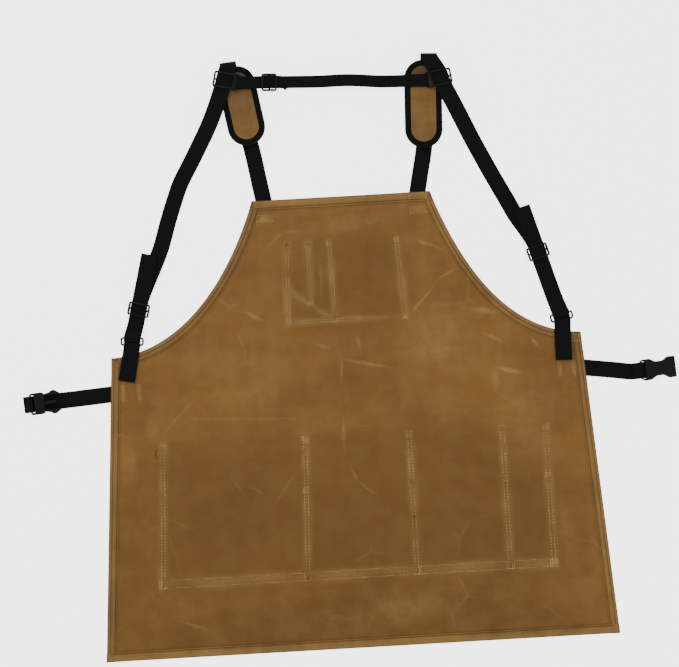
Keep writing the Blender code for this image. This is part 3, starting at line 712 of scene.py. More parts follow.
@dataclass(frozen=True)
class Paper:
    """The plain pale floor."""

    name: str = "pale_floor"
    colour: Colour = (0.93, 0.93, 0.93)
    glow: float = 3.0

    def make(self) -> Material:
        """Build the material."""
        g = Graph(self.name)
        flat = g.bump(g.noise(g.place(), 300.0), 0.00002, 0.1)
        glow = {"Emission_Color": (1.0, 1.0, 1.0), "Emission_Strength": self.glow}
        return g.close(self.colour, 0.9, flat, Specular_IOR_Level=0.0, **glow)


class Finishes:
    """Every material of the apron, made once."""

    def __init__(self) -> None:
        """Make them."""
        self.canvas = Canvas("waxed_canvas", rubs=RUBS, shades=SHADES).make()
        # The fold's dark colour serves its mottling and also the painted shade in the hem grooves and
        # on the rolled rims.
        self.fold = Canvas(
            "folded_canvas", base=(0.232, 0.116, 0.020), dark=(0.042, 0.017, 0.003)
        ).make()
        # The pad's dark colour serves its mottling and also the painted shadow at the top end of each
        # pad.
        self.pad = Canvas(
            "pad_canvas", base=(0.180, 0.088, 0.014), dark=(0.030, 0.012, 0.004)
        ).make()
        self.web = Web("black_webbing").make()
        self.tape = Web("binding_tape", rib=0.0009, cord=0.0011).make()
        self.lining = Web("pad_lining", rib=0.0008, cord=0.0008).make()
        self.plastic = Moulded("moulded_plastic").make()
        self.thread = Thread("tan_thread").make()
        self.dark_thread = Thread(
            "dark_thread", colour=(0.012, 0.011, 0.010), lit=(0.035, 0.030, 0.025)
        ).make()
        self.hem_thread = Thread(
            "hem_thread", colour=(0.060, 0.029, 0.008), lit=(0.15, 0.080, 0.026)
        ).make()


# ---------------------------------------------------------------- how the cloth lies


@dataclass(frozen=True)
class Prop:
    """A plan rectangle where something under the cloth holds it up."""

    low: Plan
    high: Plan

    def share(self, x: Array, y: Array, soft: float) -> Array:
        """How far each point is held up, from 0 to 1."""
        dx = np.maximum(np.maximum(self.low[0] - x, x - self.high[0]), 0.0)
        dy = np.maximum(np.maximum(self.low[1] - y, y - self.high[1]), 0.0)
        return eased(np.clip(1.0 - np.hypot(dx, dy) / soft, 0.0, 1.0))


@dataclass
class Lay:
    """How the cloth lies over its pockets and straps, and its slow waves."""

    sag: float = 0.0016
    soft: float = 0.016
    wave: float = 0.00075

    def __post_init__(self) -> None:
        """Find what holds the cloth up."""
        names = ["chest_pocket", "waist_pocket_back"]
        parts = ("waist_strap_anchor", "ring_loop")
        names += [f"{part}_{side.tag}" for part in parts for side in Side]
        boxes = [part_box(name) for name in names]
        self.props = [Prop((low.x, low.y), (high.x, high.y)) for low, high in boxes]
        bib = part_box("body_panel")[1].y
        for side in Side:
            middle = Harness.of(side).sewn[0]
            self.props.append(Prop((middle - 0.013, bib - 0.03), (middle + 0.013, bib + 0.02)))

    def lift(self, x: Array, y: Array) -> Array:
        """Height of the cloth above its CAD place.

        Args:
            x: Plan positions.
            y: Plan positions.

        Returns:
            Heights, negative where the cloth sags to the floor.
        """
        held = np.max([prop.share(x, y, self.soft) for prop in self.props], axis=0)
        slow = np.sin(9.1 * x + 3.2 * y + 0.4) * np.sin(7.3 * y - 2.1 * x + 1.1)
        mid = np.sin(23.0 * x - 9.0 * y + 2.0) * np.sin(15.0 * y + 11.0 * x)
        small = np.sin(61.0 * x + 17.0 * y) * np.sin(43.0 * y - 19.0 * x + 0.7)
        waves = 0.55 + 0.45 * slow + 0.35 * mid + 0.12 * small
        return -self.sag * (1.0 - held) + self.wave * waves * (1.0 - 0.75 * held)


# ---------------------------------------------------------------- sewing


@dataclass(frozen=True)
class Seam:
    """A row of stitches along plan points, on a surface of known height."""

    points: tuple[Plan, ...]
    z: float = PANEL_TOP
    pitch: float = 0.0038
    shift: float = 0.0
    trim: float = 0.0

    def line(self) -> Array:
        """The seam's own plan line, moved aside by its shift."""
        line = evenly(np.array(self.points), 0.004)
        if self.trim:
            run = lengths(line)
            marks = np.linspace(self.trim, run[-1] - self.trim, len(line))
            line = np.stack([np.interp(marks, run, line[:, k]) for k in (0, 1)], axis=1)
        return line + self.shift * inward_of(line, 1) if self.shift else line


class Sewing:
    """Makes rows of stitches on the lying cloth."""

    SEED = 7
    WANDER = 0.00016
    UNEVEN = 0.03
    PRESSED = 0.9

    def __init__(self, lay: Lay) -> None:
        """Model the one stitch that every row repeats.

        Args:
            lay: How the cloth lies.
        """
        self.lay = lay
        self.template = self._stitch()

    def _stitch(self) -> tuple[Array, list[tuple[int, ...]]]:
        """One stitch, modelled once: a bead with pressed ends, of length and width 2."""
        bpy.ops.object.select_all(action="DESELECT")
        bpy.ops.mesh.primitive_uv_sphere_add(segments=6, ring_count=5, radius=1.0)
        bead = bpy.context.active_object
        shape = positions(bead)[:, [2, 0, 1]]
        shape[:, 2] -= self.PRESSED * shape[:, 0] ** 2
        faces = [tuple(face.vertices) for face in bead.data.polygons]
        bpy.data.objects.remove(bead)
        return shape, faces

    def rows(
        self,
        name: str,
        seams: Iterable[Seam],
        finish: Material,
        slot: str,
        thick: float = 0.00056,
        fill: float = 0.34,
    ) -> Piece:
        """Sew rows of stitches as one piece.

        Args:
            name: Name of the piece.
            seams: The rows.
            finish: Thread material.
            slot: Not used; handed on to settle.
            thick: Half width of the thread.
            fill: Half length of a stitch, as a share of the pitch.

        Returns:
            The stitches.
        """
        shape, faces = self.template
        points, cells = [], []
        sway = np.random.default_rng(self.SEED)
        for seam in seams:
            line = evenly(seam.line(), seam.pitch)
            run = unit(np.gradient(line, axis=0))
            side = np.stack([-run[:, 1], run[:, 0]], axis=1)
            line = line + side * sway.normal(0.0, self.WANDER, (len(line), 1))
            height = seam.z + self.lay.lift(line[:, 0], line[:, 1])
            half = seam.pitch * (fill + sway.normal(0.0, self.UNEVEN, len(line)))
            for at, t, s, z, reach in zip(line, run, side, height, half):
                spot = at + np.outer(shape[:, 0] * reach, t) + np.outer(shape[:, 1] * thick, s)
                rise = z + thick * shape[:, 2]
                cells += [tuple(n + len(shape) * len(points) for n in face) for face in faces]
                points.append(np.column_stack([spot, rise]))
        mesh = bpy.data.meshes.new(name)
        mesh.from_pydata(np.vstack(points).tolist(), [], cells)
        piece = bpy.data.objects.new(name, mesh)
        bpy.context.scene.collection.objects.link(piece)
        clean(piece, merge=1e-9)
        smooth(piece, 180.0)
        return settle(piece, finish, slot, BODY)


# ---------------------------------------------------------------- the canvas


@dataclass
class Outline:
    """The apron's outline in plan."""

    bib_width: float = 0.261
    bib_lean: float = 0.0045
    waist_width: float = 0.688
    side_length: float = 0.444
    drop: Plan = (0.043, -0.122)
    reach: Plan = (-0.100, 0.004)

    def __post_init__(self) -> None:
        """Read the panel's own box."""
        low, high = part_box("body_panel")
        self.hem_y, self.bib_y, self.half_hem = low.y, high.y, high.x

    def bib(self, side: Side) -> Array:
        """The bib's top corner."""
        return np.array([side.value * self.bib_width / 2 + self.bib_lean, self.bib_y])

    def waist(self, side: Side) -> Array:
        """The corner where the armhole meets the side."""
        return np.array([side.value * self.waist_width / 2, self.hem_y + self.side_length])

    def foot(self, side: Side) -> Array:
        """The bottom corner."""
        return np.array([side.value * self.half_hem, self.hem_y])

    def armhole(self, side: Side, count: int = 90) -> Array:
        """Points along the armhole, from the bib to the waist."""
        a, d = self.bib(side), self.waist(side)
        b = a + np.array([side.value * self.drop[0], self.drop[1]])
        c = d + np.array([side.value * self.reach[0], self.reach[1]])
        t = np.linspace(0.0, 1.0, count)[:, None]
        curve = (1 - t) ** 3 * a + 3 * (1 - t) ** 2 * t * b + 3 * (1 - t) * t * t * c + t**3 * d
        return evenly(curve, 0.004)

    def loop(self) -> Array:
        """The whole outline, once round."""
        right, left = self.armhole(Side.RIGHT), self.armhole(Side.LEFT)
        feet = np.array([self.foot(Side.LEFT), self.foot(Side.RIGHT)])
        return np.vstack([feet, right[::-1], left])

    def cut(self) -> tuple[Plan, float]:
        """Width, length and area of the flat cloth before its straight edges are turned."""
        x, y = self.loop().T
        finished = abs(x @ np.roll(y, -1) - y @ np.roll(x, -1)) / 2
        side = float(np.linalg.norm(self.waist(Side.RIGHT) - self.foot(Side.RIGHT)))
        turned = FOLD_WIDTH * (self.bib_width + 2 * side + 2 * self.half_hem)
        size = (2 * (self.half_hem + FOLD_WIDTH), self.bib_y - self.hem_y + 2 * FOLD_WIDTH)
        return size, float(finished + turned)

    def depth(self, x: Array, y: Array) -> Array:
        """Distance of plan points inside the outline, negative outside it."""
        loop = self.loop()
        best = np.full(x.shape, 1e9)
        inside = np.zeros(x.shape, bool)
        for a, b in zip(loop, np.roll(loop, -1, axis=0)):
            run = b - a
            square = max(float(run @ run), 1e-12)
            t = np.clip(((x - a[0]) * run[0] + (y - a[1]) * run[1]) / square, 0.0, 1.0)
            best = np.minimum(best, np.hypot(x - a[0] - t * run[0], y - a[1] - t * run[1]))
            if a[1] != b[1]:
                crosses = (a[1] > y) != (b[1] > y)
                inside ^= crosses & (x < a[0] + (y - a[1]) * run[0] / run[1])
        return np.where(inside, best, -best)


@dataclass
class PocketRows:
    """Where the pockets are sewn, in plan."""

    waist_columns: tuple[tuple[float, float], ...] = (
        (-0.2870, -0.2765),
        (-0.0750, -0.0675),
        (0.0850, 0.0846),
        (0.2222, 0.2205),
        (0.2858, 0.2840),
    )
    waist_rows: tuple[float, float] = (-0.0635, -0.0525)
    waist_top: float = 0.146
    front_top: float = 0.069
    pair: float = 0.0026
    chest_columns: tuple[tuple[float, float, float], ...] = (
        (-0.0820, 0.313, -0.0780),
        (-0.0475, 0.340, -0.0480),
        (-0.0135, 0.313, -0.0165),
        (0.0880, 0.313, 0.0825),
    )
    chest_low: float = 0.313
    chest_top: float = 0.430
    slant: tuple[Plan, Plan] = ((-0.0795, 0.362), (-0.0165, 0.315))
    chest_pair: float = 0.0018
    slant_pair: float = 0.0015
    chest_rise: float = 0.0030
    overrun: float = 0.003
    column_pitch: float = 0.0046
    row_pitch: float = 0.0044
    chest_pitch: float = 0.0036
    loose_ends: tuple[Plan, ...] = (
        (-0.2865, 0.137),
        (-0.2875, 0.132),
        (-0.2860, 0.127),
        (-0.0790, 0.428),
        (-0.0150, 0.316),
        (-0.0715, 0.137),
        (0.0850, 0.020),
        (-0.1180, 0.4690),
        (0.3360, 0.2290),
    )

    def seams(self) -> list[Seam]:
        """The long rows."""
        rows = []
        foot = self.waist_rows[0]
        for low, high in self.waist_columns:
            for shift in (-self.pair, self.pair):
                run = ((low, foot), (high, self.waist_top))
                rows.append(Seam(run, shift=shift, pitch=self.column_pitch))
        ends = self.waist_columns[0][0] - self.overrun, self.waist_columns[-1][0] + self.overrun
        for y in self.waist_rows:
            rows.append(Seam(((ends[0], y), (ends[1], y)), pitch=self.row_pitch))
        for low, foot, high in self.chest_columns:
            run = ((low, foot), (high, self.chest_top))
            for shift in (-self.chest_pair, self.chest_pair):
                rows.append(Seam(run, shift=shift, pitch=self.chest_pitch))
        ends = self.chest_columns[0][0], self.chest_columns[-1][0]
        for y in (self.chest_low, self.chest_low + self.chest_rise):
            rows.append(Seam(((ends[0], y), (ends[1], y)), pitch=self.chest_pitch))
        for shift in (self.slant_pair, -self.slant_pair):
            rows.append(Seam(self.slant, shift=shift, pitch=self.chest_pitch))
        return rows

    def knots(self) -> list[Seam]:
        """Dark thread ends where the rows cross."""
        spots = [(low, self.waist_rows[0] + 0.003) for low, _ in self.waist_columns[:-1]]
        spots += self.loose_ends
        return [
            Seam(((x - 0.001, y - 0.0014), (x + 0.0012, y + 0.002)), pitch=0.0014)
            for x, y in spots
        ]

    def tacks(self) -> list[Seam]:
        """Bar tacks: short dense rows that hold the pockets' corners."""
        spots = []
        share = (self.front_top - self.waist_rows[0]) / (self.waist_top - self.waist_rows[0])
        for low, high in self.waist_columns:
            spots.append((high, self.waist_top - 0.004, 0.0046))
            spots.append((low + (high - low) * share, self.front_top, 0.0042))
            spots.append((low, sum(self.waist_rows) / 2, 0.0054))
        spots += [(high, self.chest_top - 0.003, 0.0034) for _, _, high in self.chest_columns]
        spots += [(low, foot + 0.0015, 0.0036) for low, foot, _ in self.chest_columns]
        rows = []
        for x, y, half in spots:
            for step in np.arange(-half, half + 0.0001, 0.0014):
                rows.append(Seam(((x - half, y + step), (x + half, y + step)), pitch=0.0024))
        return rows


def box_seams(middle: Plan, width: float, height: float, z: float, cross: bool) -> list[Seam]:
    """A box of stitches, with a cross in it if asked."""
    x, y, w, h = *middle, width / 2, height / 2
    corners = [(x - w, y - h), (x + w, y - h), (x + w, y + h), (x - w, y + h)]
    pairs = list(zip(corners, corners[1:] + corners[:1]))
    if cross:
        pairs += [(corners[0], corners[2]), (corners[1], corners[3])]
    return [Seam(pair, z=z, pitch=0.0030) for pair in pairs]


@dataclass
class Panel:
    """The canvas panel with its turned hems, facings and stitching."""

    lay: Lay
    outline: Outline
    rows: PocketRows
    finishes: Finishes
    cell: float = 0.0052
    seam_reach: float = 0.0040
    seam_dip: float = 0.00055
    tucked: float = 0.007
    fold_row: float = 0.0118
    rim_row: float = 0.0046
    bib_row: float = 0.0112
    arm_rows: Plan = (0.0058, 0.0120)
    hem_pitch: float = 0.0036
    short_of_edge: float = 0.004
    waist_tacks: tuple[float, ...] = (-0.330, -0.306, 0.310, 0.332)
    waist_tack_y: float = 0.2255

    def build(self) -> Piece:
        """Build the cloth and everything that belongs to its edge."""
        cloth = self._cloth()
        edges = [self._side_hem(side) for side in Side]
        edges += [self._facing(side) for side in Side]
        edges += [self._bottom_hem(), self._bib_hem()]
        size, area = self.outline.cut()
        return cloth

    def _lines(self, low: float, high: float, seams: Iterable[float]) -> Array:
        """Grid lines at the cell size, with more beside the seams."""
        base = np.arange(low, high, self.cell)
        near = [s + d for s in seams for d in (-0.0040, -0.0022, -0.0009, 0.0009, 0.0022, 0.0040)]
        kept = [b for b in base if min((abs(b - n) for n in near), default=1.0) > 0.0011]
        return np.unique(np.round(np.array(kept + near), 5))

    def _cloth(self) -> Piece:
        """The main sheet, tucked into its hems."""
        o, rows = self.outline, self.rows
        pairs = [(a + b) / 2 + s * rows.pair for a, b in rows.waist_columns for s in (-1, 1)]
        xs = self._lines(-o.half_hem, o.half_hem, pairs)
        ys = self._lines(o.hem_y, o.bib_y, [*rows.waist_rows, rows.chest_low])

        def place(i: Array, j: Array) -> Array:
            """Flat position of each crossing point."""
            return np.column_stack([xs[i], ys[j], np.full(len(i), PANEL_Z + CANVAS / 2)])

        piece = grid_piece("apron_cloth", xs, ys, place)
        spots = positions(piece)
        depth = o.depth(spots[:, 0], spots[:, 1])
        choose(piece)
        bpy.ops.object.mode_set(mode="EDIT")
        bpy.ops.mesh.select_mode(type="VERT")
        bpy.ops.mesh.select_all(action="DESELECT")
        bpy.ops.object.mode_set(mode="OBJECT")
        piece.data.vertices.foreach_set("select", depth < self.tucked)
        bpy.ops.object.mode_set(mode="EDIT")
        bpy.ops.mesh.delete(type="VERT")
        bpy.ops.object.mode_set(mode="OBJECT")
        spots = positions(piece)
        x, y = spots[:, 0], spots[:, 1]
        near = self._near_seam(x, y)
        spots[:, 2] += self.lay.lift(x, y) - self.seam_dip * near
        put(piece, spots)
        box = [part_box(name) for name in ("chest_pocket", "waist_pocket_front", "waist_pocket_back")]
        shade = sum(
            weight * Prop((a.x, a.y), (b.x, b.y)).share(x, y, 0.007)
            for weight, (a, b) in zip((0.34, 0.20, 0.26), box)
        )
        mark(piece, "pale", 0.95 * self._halo(x, y))
        mark(piece, "dark", shade)
        step = piece.modifiers.new("Thickness", "SOLIDIFY")
        step.thickness = CANVAS
        step.offset = 0.0
        finish_modifiers(piece)
        smooth(piece)
        return settle(piece, self.finishes.canvas, "canvas", BODY, "body_panel")

    def _near_seam(self, x: Array, y: Array, reach: float | None = None) -> Array:
        """How near each point is to a pocket's row of stitches, from 0 to 1."""
        reach = reach or self.seam_reach
        best = np.full(x.shape, 1e9)
        for seam in self.rows.seams():
            a, b = (np.array(p) for p in (seam.line()[0], seam.line()[-1]))
            run = b - a
            t = np.clip(((x - a[0]) * run[0] + (y - a[1]) * run[1]) / (run @ run), 0.0, 1.0)
            best = np.minimum(best, np.hypot(x - a[0] - t * run[0], y - a[1] - t * run[1]))
        return eased(np.clip(1.0 - best / reach, 0.0, 1.0))

    def _halo(self, x: Array, y: Array) -> Array:
        """Rubbed wax beside the seams, broken up along their length."""
        patchy = 0.62 + 0.38 * np.sin(71.0 * y + 13.0 * x) * np.sin(53.0 * x - 29.0 * y + 1.0)
        low, high = self.rows.waist_rows
        ends = self.rows.waist_columns[0][0], self.rows.waist_columns[-1][0]
        band = Prop((ends[0], low), (ends[1], high)).share(x, y, 0.004)
        return np.maximum(self._near_seam(x, y, 0.0070), band) * patchy

    def _edge(
        self,
        name: str,
        line: Array,
        inward: int,
        grooves: Sequence[float],
        base: float,
        node: str,
        cuts: tuple[Array, Array],
    ) -> Piece:
        """A turned edge: a flat band with a rolled outer rim and pressed stitch lines.

        Args:
            name: Name of the piece.
            line: The finished edge, in plan.
            inward: 1 if the apron is on the left of the line.
            grooves: Distance of each stitch line from the edge.
            base: Height added to the band.
            node: The CAD node that it stands for, or an empty name.
            cuts: Direction in which each end is cut.

        Returns:
            The band.
        """
        line = evenly(line, 0.004)
        top = HEM_TOP + base
        low = PANEL_Z - 0.0004
        reach = [FOLD_WIDTH, FOLD_WIDTH, FOLD_WIDTH - 0.0004, FOLD_WIDTH - 0.0012]
        rise = [PANEL_TOP - 0.0002, top - 0.0006, top - 0.00015, top]
        for groove in sorted(grooves, reverse=True):
            reach += [groove + 0.0014, groove + 0.0005, groove, groove - 0.0005, groove - 0.0014]
            rise += [top - 0.0001, top - 0.0006, top - 0.0008, top - 0.0006, top - 0.0001]
        reach += [0.0022, 0.0009, 0.0002, 0.0, 0.0002, 0.0010, 0.0040, FOLD_WIDTH]
        rise += [top + 0.0001, top - 0.0002, top - 0.0009, (top + low) / 2, low + 0.0006]
        rise += [low] * 3
        profile = np.column_stack([reach, rise])
        into = inward_of(line, inward)
        for end, cut in zip((0, -1), cuts):
            into[end] = cut / (cut @ into[end])
        sides = raised(into, 0.0)
        ups = np.tile((0.0, 0.0, 1.0), (len(line), 1))
        piece = sweep(name, raised(line, 0.0), sides, ups, profile)
        spots = positions(piece)
        x, y = spots[:, 0], spots[:, 1]
        depth = self.outline.depth(x, y)
        lift = self.lay.lift(x, y)
        spots[:, 2] += lift
        put(piece, spots)
        # Painted shade: the dark mark darkens the band along its pressed stitch grooves and where its
        # rim rolls down to the floor.
        groove_shade = np.max([1.0 - np.abs(depth - g) / 0.0011 for g in grooves], axis=0)
        above = spots[:, 2] - lift > PANEL_TOP
        roll_shade = np.clip(1.6 - depth / 0.0014, 0.0, 1.0)
        mark(piece, "dark", np.maximum(np.clip(groove_shade, 0.0, 1.0) * above, roll_shade))
        rim = np.clip(1.0 - np.abs(depth - 0.0030) / 0.0034, 0.0, 1.0)
        mark(piece, "pale", 0.50 * rim * above)
        smooth(piece, 50.0)
        nodes = (node,) if node else ()
        return settle(piece, self.finishes.fold, "canvas", BODY, *nodes)

    def _side_hem(self, side: Side) -> Piece:
        """The turned hem down one side."""
        o = self.outline
        line = np.array([o.waist(side), o.foot(side)])
        arm = o.armhole(side)
        cuts = (arm[-2] - arm[-1], np.array([-side.value, 0.0]))
        name = f"side_hem_{side.tag}"
        return self._edge(name, line, -side.value, (self.rim_row, self.fold_row), 0.0003, "", cuts)

    def _facing(self, side: Side) -> Piece:
        """The strip sewn along one armhole."""
        o = self.outline
        name = f"armhole_binding_{side.tag}"
        node = f"armhole_facing_{side.tag}"
        cuts = (np.array([-side.value, 0.0]), o.foot(side) - o.waist(side))
        return self._edge(name, o.armhole(side), -side.value, self.arm_rows, 0.0, node, cuts)

    def _bottom_hem(self) -> Piece:
        """The turned hem at the bottom, folded last."""
        o = self.outline
        line = np.array([o.foot(side) for side in Side])
        cuts = tuple(o.waist(side) - o.foot(side) for side in Side)
        return self._edge("bottom_hem", line, 1, (self.fold_row,), 0.0006, "", cuts)

    def _bib_hem(self) -> Piece:
        """The turned hem at the top of the bib, folded last."""
        o = self.outline
        line = np.array([o.bib(side) for side in Side])
        cuts = tuple(o.armhole(side)[1] - o.bib(side) for side in Side)
        return self._edge("bib_hem", line, -1, (self.bib_row,), 0.0006, "", cuts)

    def sew(self, sewing: Sewing) -> None:
        """Make the panel's stitches.

        Args:
            sewing: The sewing helper.
        """
        o = self.outline
        low, high = (tuple(tuple(at(side)) for side in Side) for at in (o.foot, o.bib))
        edge, pitch = self.short_of_edge, self.hem_pitch
        hems = [
            Seam(low, HEM_TOP - 0.0002, pitch, self.fold_row, edge),
            Seam(high, HEM_TOP - 0.0002, pitch, -self.bib_row, edge),
        ]
        for side in Side:
            ends = (tuple(o.foot(side)), tuple(o.waist(side)))
            hems.append(Seam(ends, HEM_TOP - 0.0005, pitch, side.value * self.fold_row, edge))
            curve = tuple(map(tuple, o.armhole(side)))
            for depth in self.arm_rows:
                hems.append(Seam(curve, HEM_TOP - 0.0008, pitch, -side.value * depth, edge))
        corner = tuple(o.waist(Side.LEFT))
        mitre = (corner[0] + 0.015, corner[1] - 0.012)
        hems.append(Seam((corner, mitre), HEM_TOP + 0.0003, 0.0022, 0.0, 0.001))
        hems.append(Seam((mitre, (mitre[0] + 0.001, mitre[1] + 0.014)), HEM_TOP, 0.0022))
        tan, dark = self.finishes.thread, self.finishes.dark_thread
        sewing.rows("hem_stitches", hems, self.finishes.hem_thread, "canvas", 0.00034)
        sewing.rows("pocket_stitches", self.rows.seams(), tan, "canvas", 0.00068, 0.28)
        sewing.rows("bar_tacks", self.rows.tacks(), tan, "canvas", 0.00040, 0.42)
        sewing.rows("thread_ends", self.rows.knots(), dark, "canvas", 0.0006, 0.6)
        boxes = []
        for side in Side:
            middle = Harness.of(side).sewn[0]
            crossed = side is Side.RIGHT
            boxes += box_seams((middle, o.bib_y - 0.006), 0.024, 0.0075, HEM_TOP + 0.0006, False)
            boxes += box_seams((middle, o.bib_y - 0.026), 0.023, 0.0095, PANEL_TOP, crossed)
        for x in self.waist_tacks:
            boxes += box_seams((x, self.waist_tack_y), 0.0028, 0.021, PANEL_TOP, False)
        right = o.waist(Side.RIGHT)
        corner_box = (right[0] - 0.0085, right[1] - 0.009)
        boxes += box_seams(corner_box, 0.010, 0.009, HEM_TOP + 0.0003, False)
        sewing.rows("strap_box_stitches", boxes, tan, "canvas", 0.00060, 0.30)


@dataclass
class Pockets:
    """The pocket layers under the panel, each a sheet with a darker line at its top hem."""

    finishes: Finishes
    cell: float = 0.008
    turned: float = 0.018
    ripple: float = 0.00012
    rim: float = 0.0003

    def build(self) -> None:
        """Build the three layers."""
        layers = (
            ("front_pocket_layer", "waist_pocket_front"),
            ("back_pocket_layer", "waist_pocket_back"),
            ("chest_pocket_cloth", "chest_pocket"),
        )
        for name, node in layers:
            self._layer(name, node)

    def _layer(self, name: str, node: str) -> None:
        """One layer, standing for a CAD node."""
        low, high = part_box(node)
        xs = np.linspace(low.x, high.x, round((high.x - low.x) / self.cell) + 1)
        ys = np.linspace(low.y, high.y, round((high.y - low.y) / self.cell) + 1)
        middle = (low.z + high.z) / 2

        def place(i: Array, j: Array) -> Array:
            """Position of each crossing point, with a slight ripple."""
            x, y = xs[i], ys[j]
            return np.column_stack([x, y, middle + self.ripple * np.sin(41 * x) * np.sin(37 * y)])

        piece = grid_piece(name, xs, ys, place)
        spots = positions(piece)
        mark(piece, "dark", (np.abs(high.y - self.turned - spots[:, 1]) < 0.005) * 0.5)
        edge = np.minimum(high.y - spots[:, 1], spots[:, 1] - low.y)
        mark(piece, "pale", 0.5 * np.clip(1.0 - edge / 0.008, 0.0, 1.0))
        step = piece.modifiers.new("Thickness", "SOLIDIFY")
        step.thickness = CANVAS * 0.94
        step.offset = 0.0
        rim = piece.modifiers.new("Rim", "BEVEL")
        rim.width = self.rim
        rim.segments = 2
        rim.limit_method = "ANGLE"
        rim.angle_limit = math.radians(50)
        finish_modifiers(piece)
        smooth(piece)
        settle(piece, self.finishes.canvas, "canvas", BODY, node)


# ---------------------------------------------------------------- webbing


@dataclass(frozen=True)
class Harness:
    """The lay of one side of the harness, as in the CAD model."""

    side: Side
    sewn: Plan
    pad_low: Plan
    pad_high: Plan
    fold: Plan
    fold_tilt: float
    slider: Plan
    slider_lean: float
    off_pad: Plan
    touch_down: Plan
    bends: tuple[Plan, ...]
    ring: Plan
    ring_lean: float
    back_lean: float
    adjuster_run: float
    tail_run: float
    loop_end: Plan

    @staticmethod
    def of(side: Side) -> "Harness":
        """The harness on a side."""
        return LEFT_HARNESS if side is Side.LEFT else RIGHT_HARNESS


LEFT_HARNESS = Harness(
    side=Side.LEFT,
    sewn=(-0.1083, 0.4940),
    pad_low=(-0.1226, 0.5765),
    pad_high=(-0.1420, 0.6930),
    fold=(-0.1485, 0.6930),
    fold_tilt=5.0,
    slider=(-0.1555, 0.6725),
    slider_lean=13.0,
    off_pad=(-0.1780, 0.6150),
    touch_down=(-0.2098, 0.5597),
    bends=((-0.2293, 0.5256), (-0.2387, 0.5027), (-0.2492, 0.4740), (-0.2634, 0.4308)),
    ring=(-0.3116, 0.3000),
    ring_lean=4.0,
    back_lean=14.6,
    adjuster_run=0.0475,
    tail_run=0.082,
    loop_end=(-0.3232, 0.2420),
)
RIGHT_HARNESS = Harness(
    side=Side.RIGHT,
    sewn=(0.1170, 0.4940),
    pad_low=(0.1305, 0.5580),
    pad_high=(0.1355, 0.6870),
    fold=(0.1445, 0.6895),
    fold_tilt=-3.0,
    slider=(0.1603, 0.6585),
    slider_lean=-8.0,
    off_pad=(0.1795, 0.6135),
    touch_down=(0.2055, 0.5593),
    bends=((0.2291, 0.5109), (0.2476, 0.4747), (0.2575, 0.4540)),
    ring=(0.3165, 0.3005),
    ring_lean=-10.0,
    back_lean=-16.6,
    adjuster_run=0.1005,
    tail_run=0.070,
    loop_end=(0.3168, 0.2368),
)

Station = tuple[Array, Array | None]


def spot(point: Plan, z: float = 0.0) -> Array:
    """A plan position lifted to a height."""
    return np.array([point[0], point[1], z])


def lean(angle: float) -> Array:
    """Unit plan direction that leans from +Y towards +X by an angle in degrees."""
    return np.array([math.sin(math.radians(angle)), math.cos(math.radians(angle)), 0.0])


def square_to(direction: Array) -> Array:
    """Unit plan direction square to another."""
    return unit(np.array([direction[1], -direction[0], 0.0]))


def up(z: float) -> Array:
    """A height as a vector."""
    return np.array([0.0, 0.0, z])


def wrap(
    bar: Array, radius: float, ahead: Array, side: Array, steps: int = 8, slack: float = 0.0
) -> list[Station]:
    """Stations half-way round a bar, from below it to above it.

    Args:
        bar: Centre of the bar.
        radius: Distance of the webbing's middle from it.
        ahead: Direction in which the webbing arrives.
        side: Direction of the bar.
        steps: How many steps it takes.
        slack: How much farther than round the bar it reaches.

    Returns:
        The stations.
    """
    ahead = unit(ahead - side * (ahead @ side))
    turns = np.linspace(0.0, math.pi, steps + 1)
    reach = ahead * (radius + slack)
    return [(bar + reach * math.sin(a) - up(radius * math.cos(a)), side) for a in turns]


def strap_profile(width: float, thick: float = WEBBING) -> Array:
    """Cross-section of webbing: flat, with a slightly thicker woven edge on each side."""
    w, t = width / 2, thick / 2
    half = [
        (-w, 0.0),
        (-w + 0.00015, 0.65 * t),
        (-w + 0.0006, 1.0 * t),
        (-w + 0.0016, 1.02 * t),
        (-w + 0.0024, 0.84 * t),
        (-w / 3, 0.90 * t),
        (w / 3, 0.90 * t),
        (w - 0.0024, 0.84 * t),
        (w - 0.0016, 1.02 * t),
        (w - 0.0006, 1.0 * t),
        (w - 0.00015, 0.65 * t),
        (w, 0.0),
    ]
    return np.array(half + [(x, -z) for x, z in reversed(half[1:-1])])


def strap(name: str, stations: Sequence[Station], width: float = WEB_WIDTH) -> Piece:
    """A length of webbing through stations, each a position and the way its width lies."""
    spots = np.array([place for place, _ in stations])
    sides: list[Array] = []
    for index, (_, side) in enumerate(stations):
        if side is None:
            ahead = spots[min(index + 1, len(spots) - 1)] - spots[max(index - 1, 0)]
            side = square_to(ahead)
        if sides and side @ sides[-1] < 0.0:
            side = -side
        sides.append(side)
    line, places = spline(spots, 0.004)
    line[:, 2] = np.maximum(line[:, 2], FLOOR_Z)
    table = np.array(sides)
    rows = [np.interp(places, np.arange(len(sides)), table[:, k]) for k in range(3)]
    side = unit(np.stack(rows, axis=1))
    run = unit(np.gradient(line, axis=0))
    side = unit(side - run * np.sum(side * run, axis=1, keepdims=True))
    lift = np.cross(side, run)
    piece = sweep(name, line, side, lift, strap_profile(width))
    smooth(piece, 60.0)
    return piece


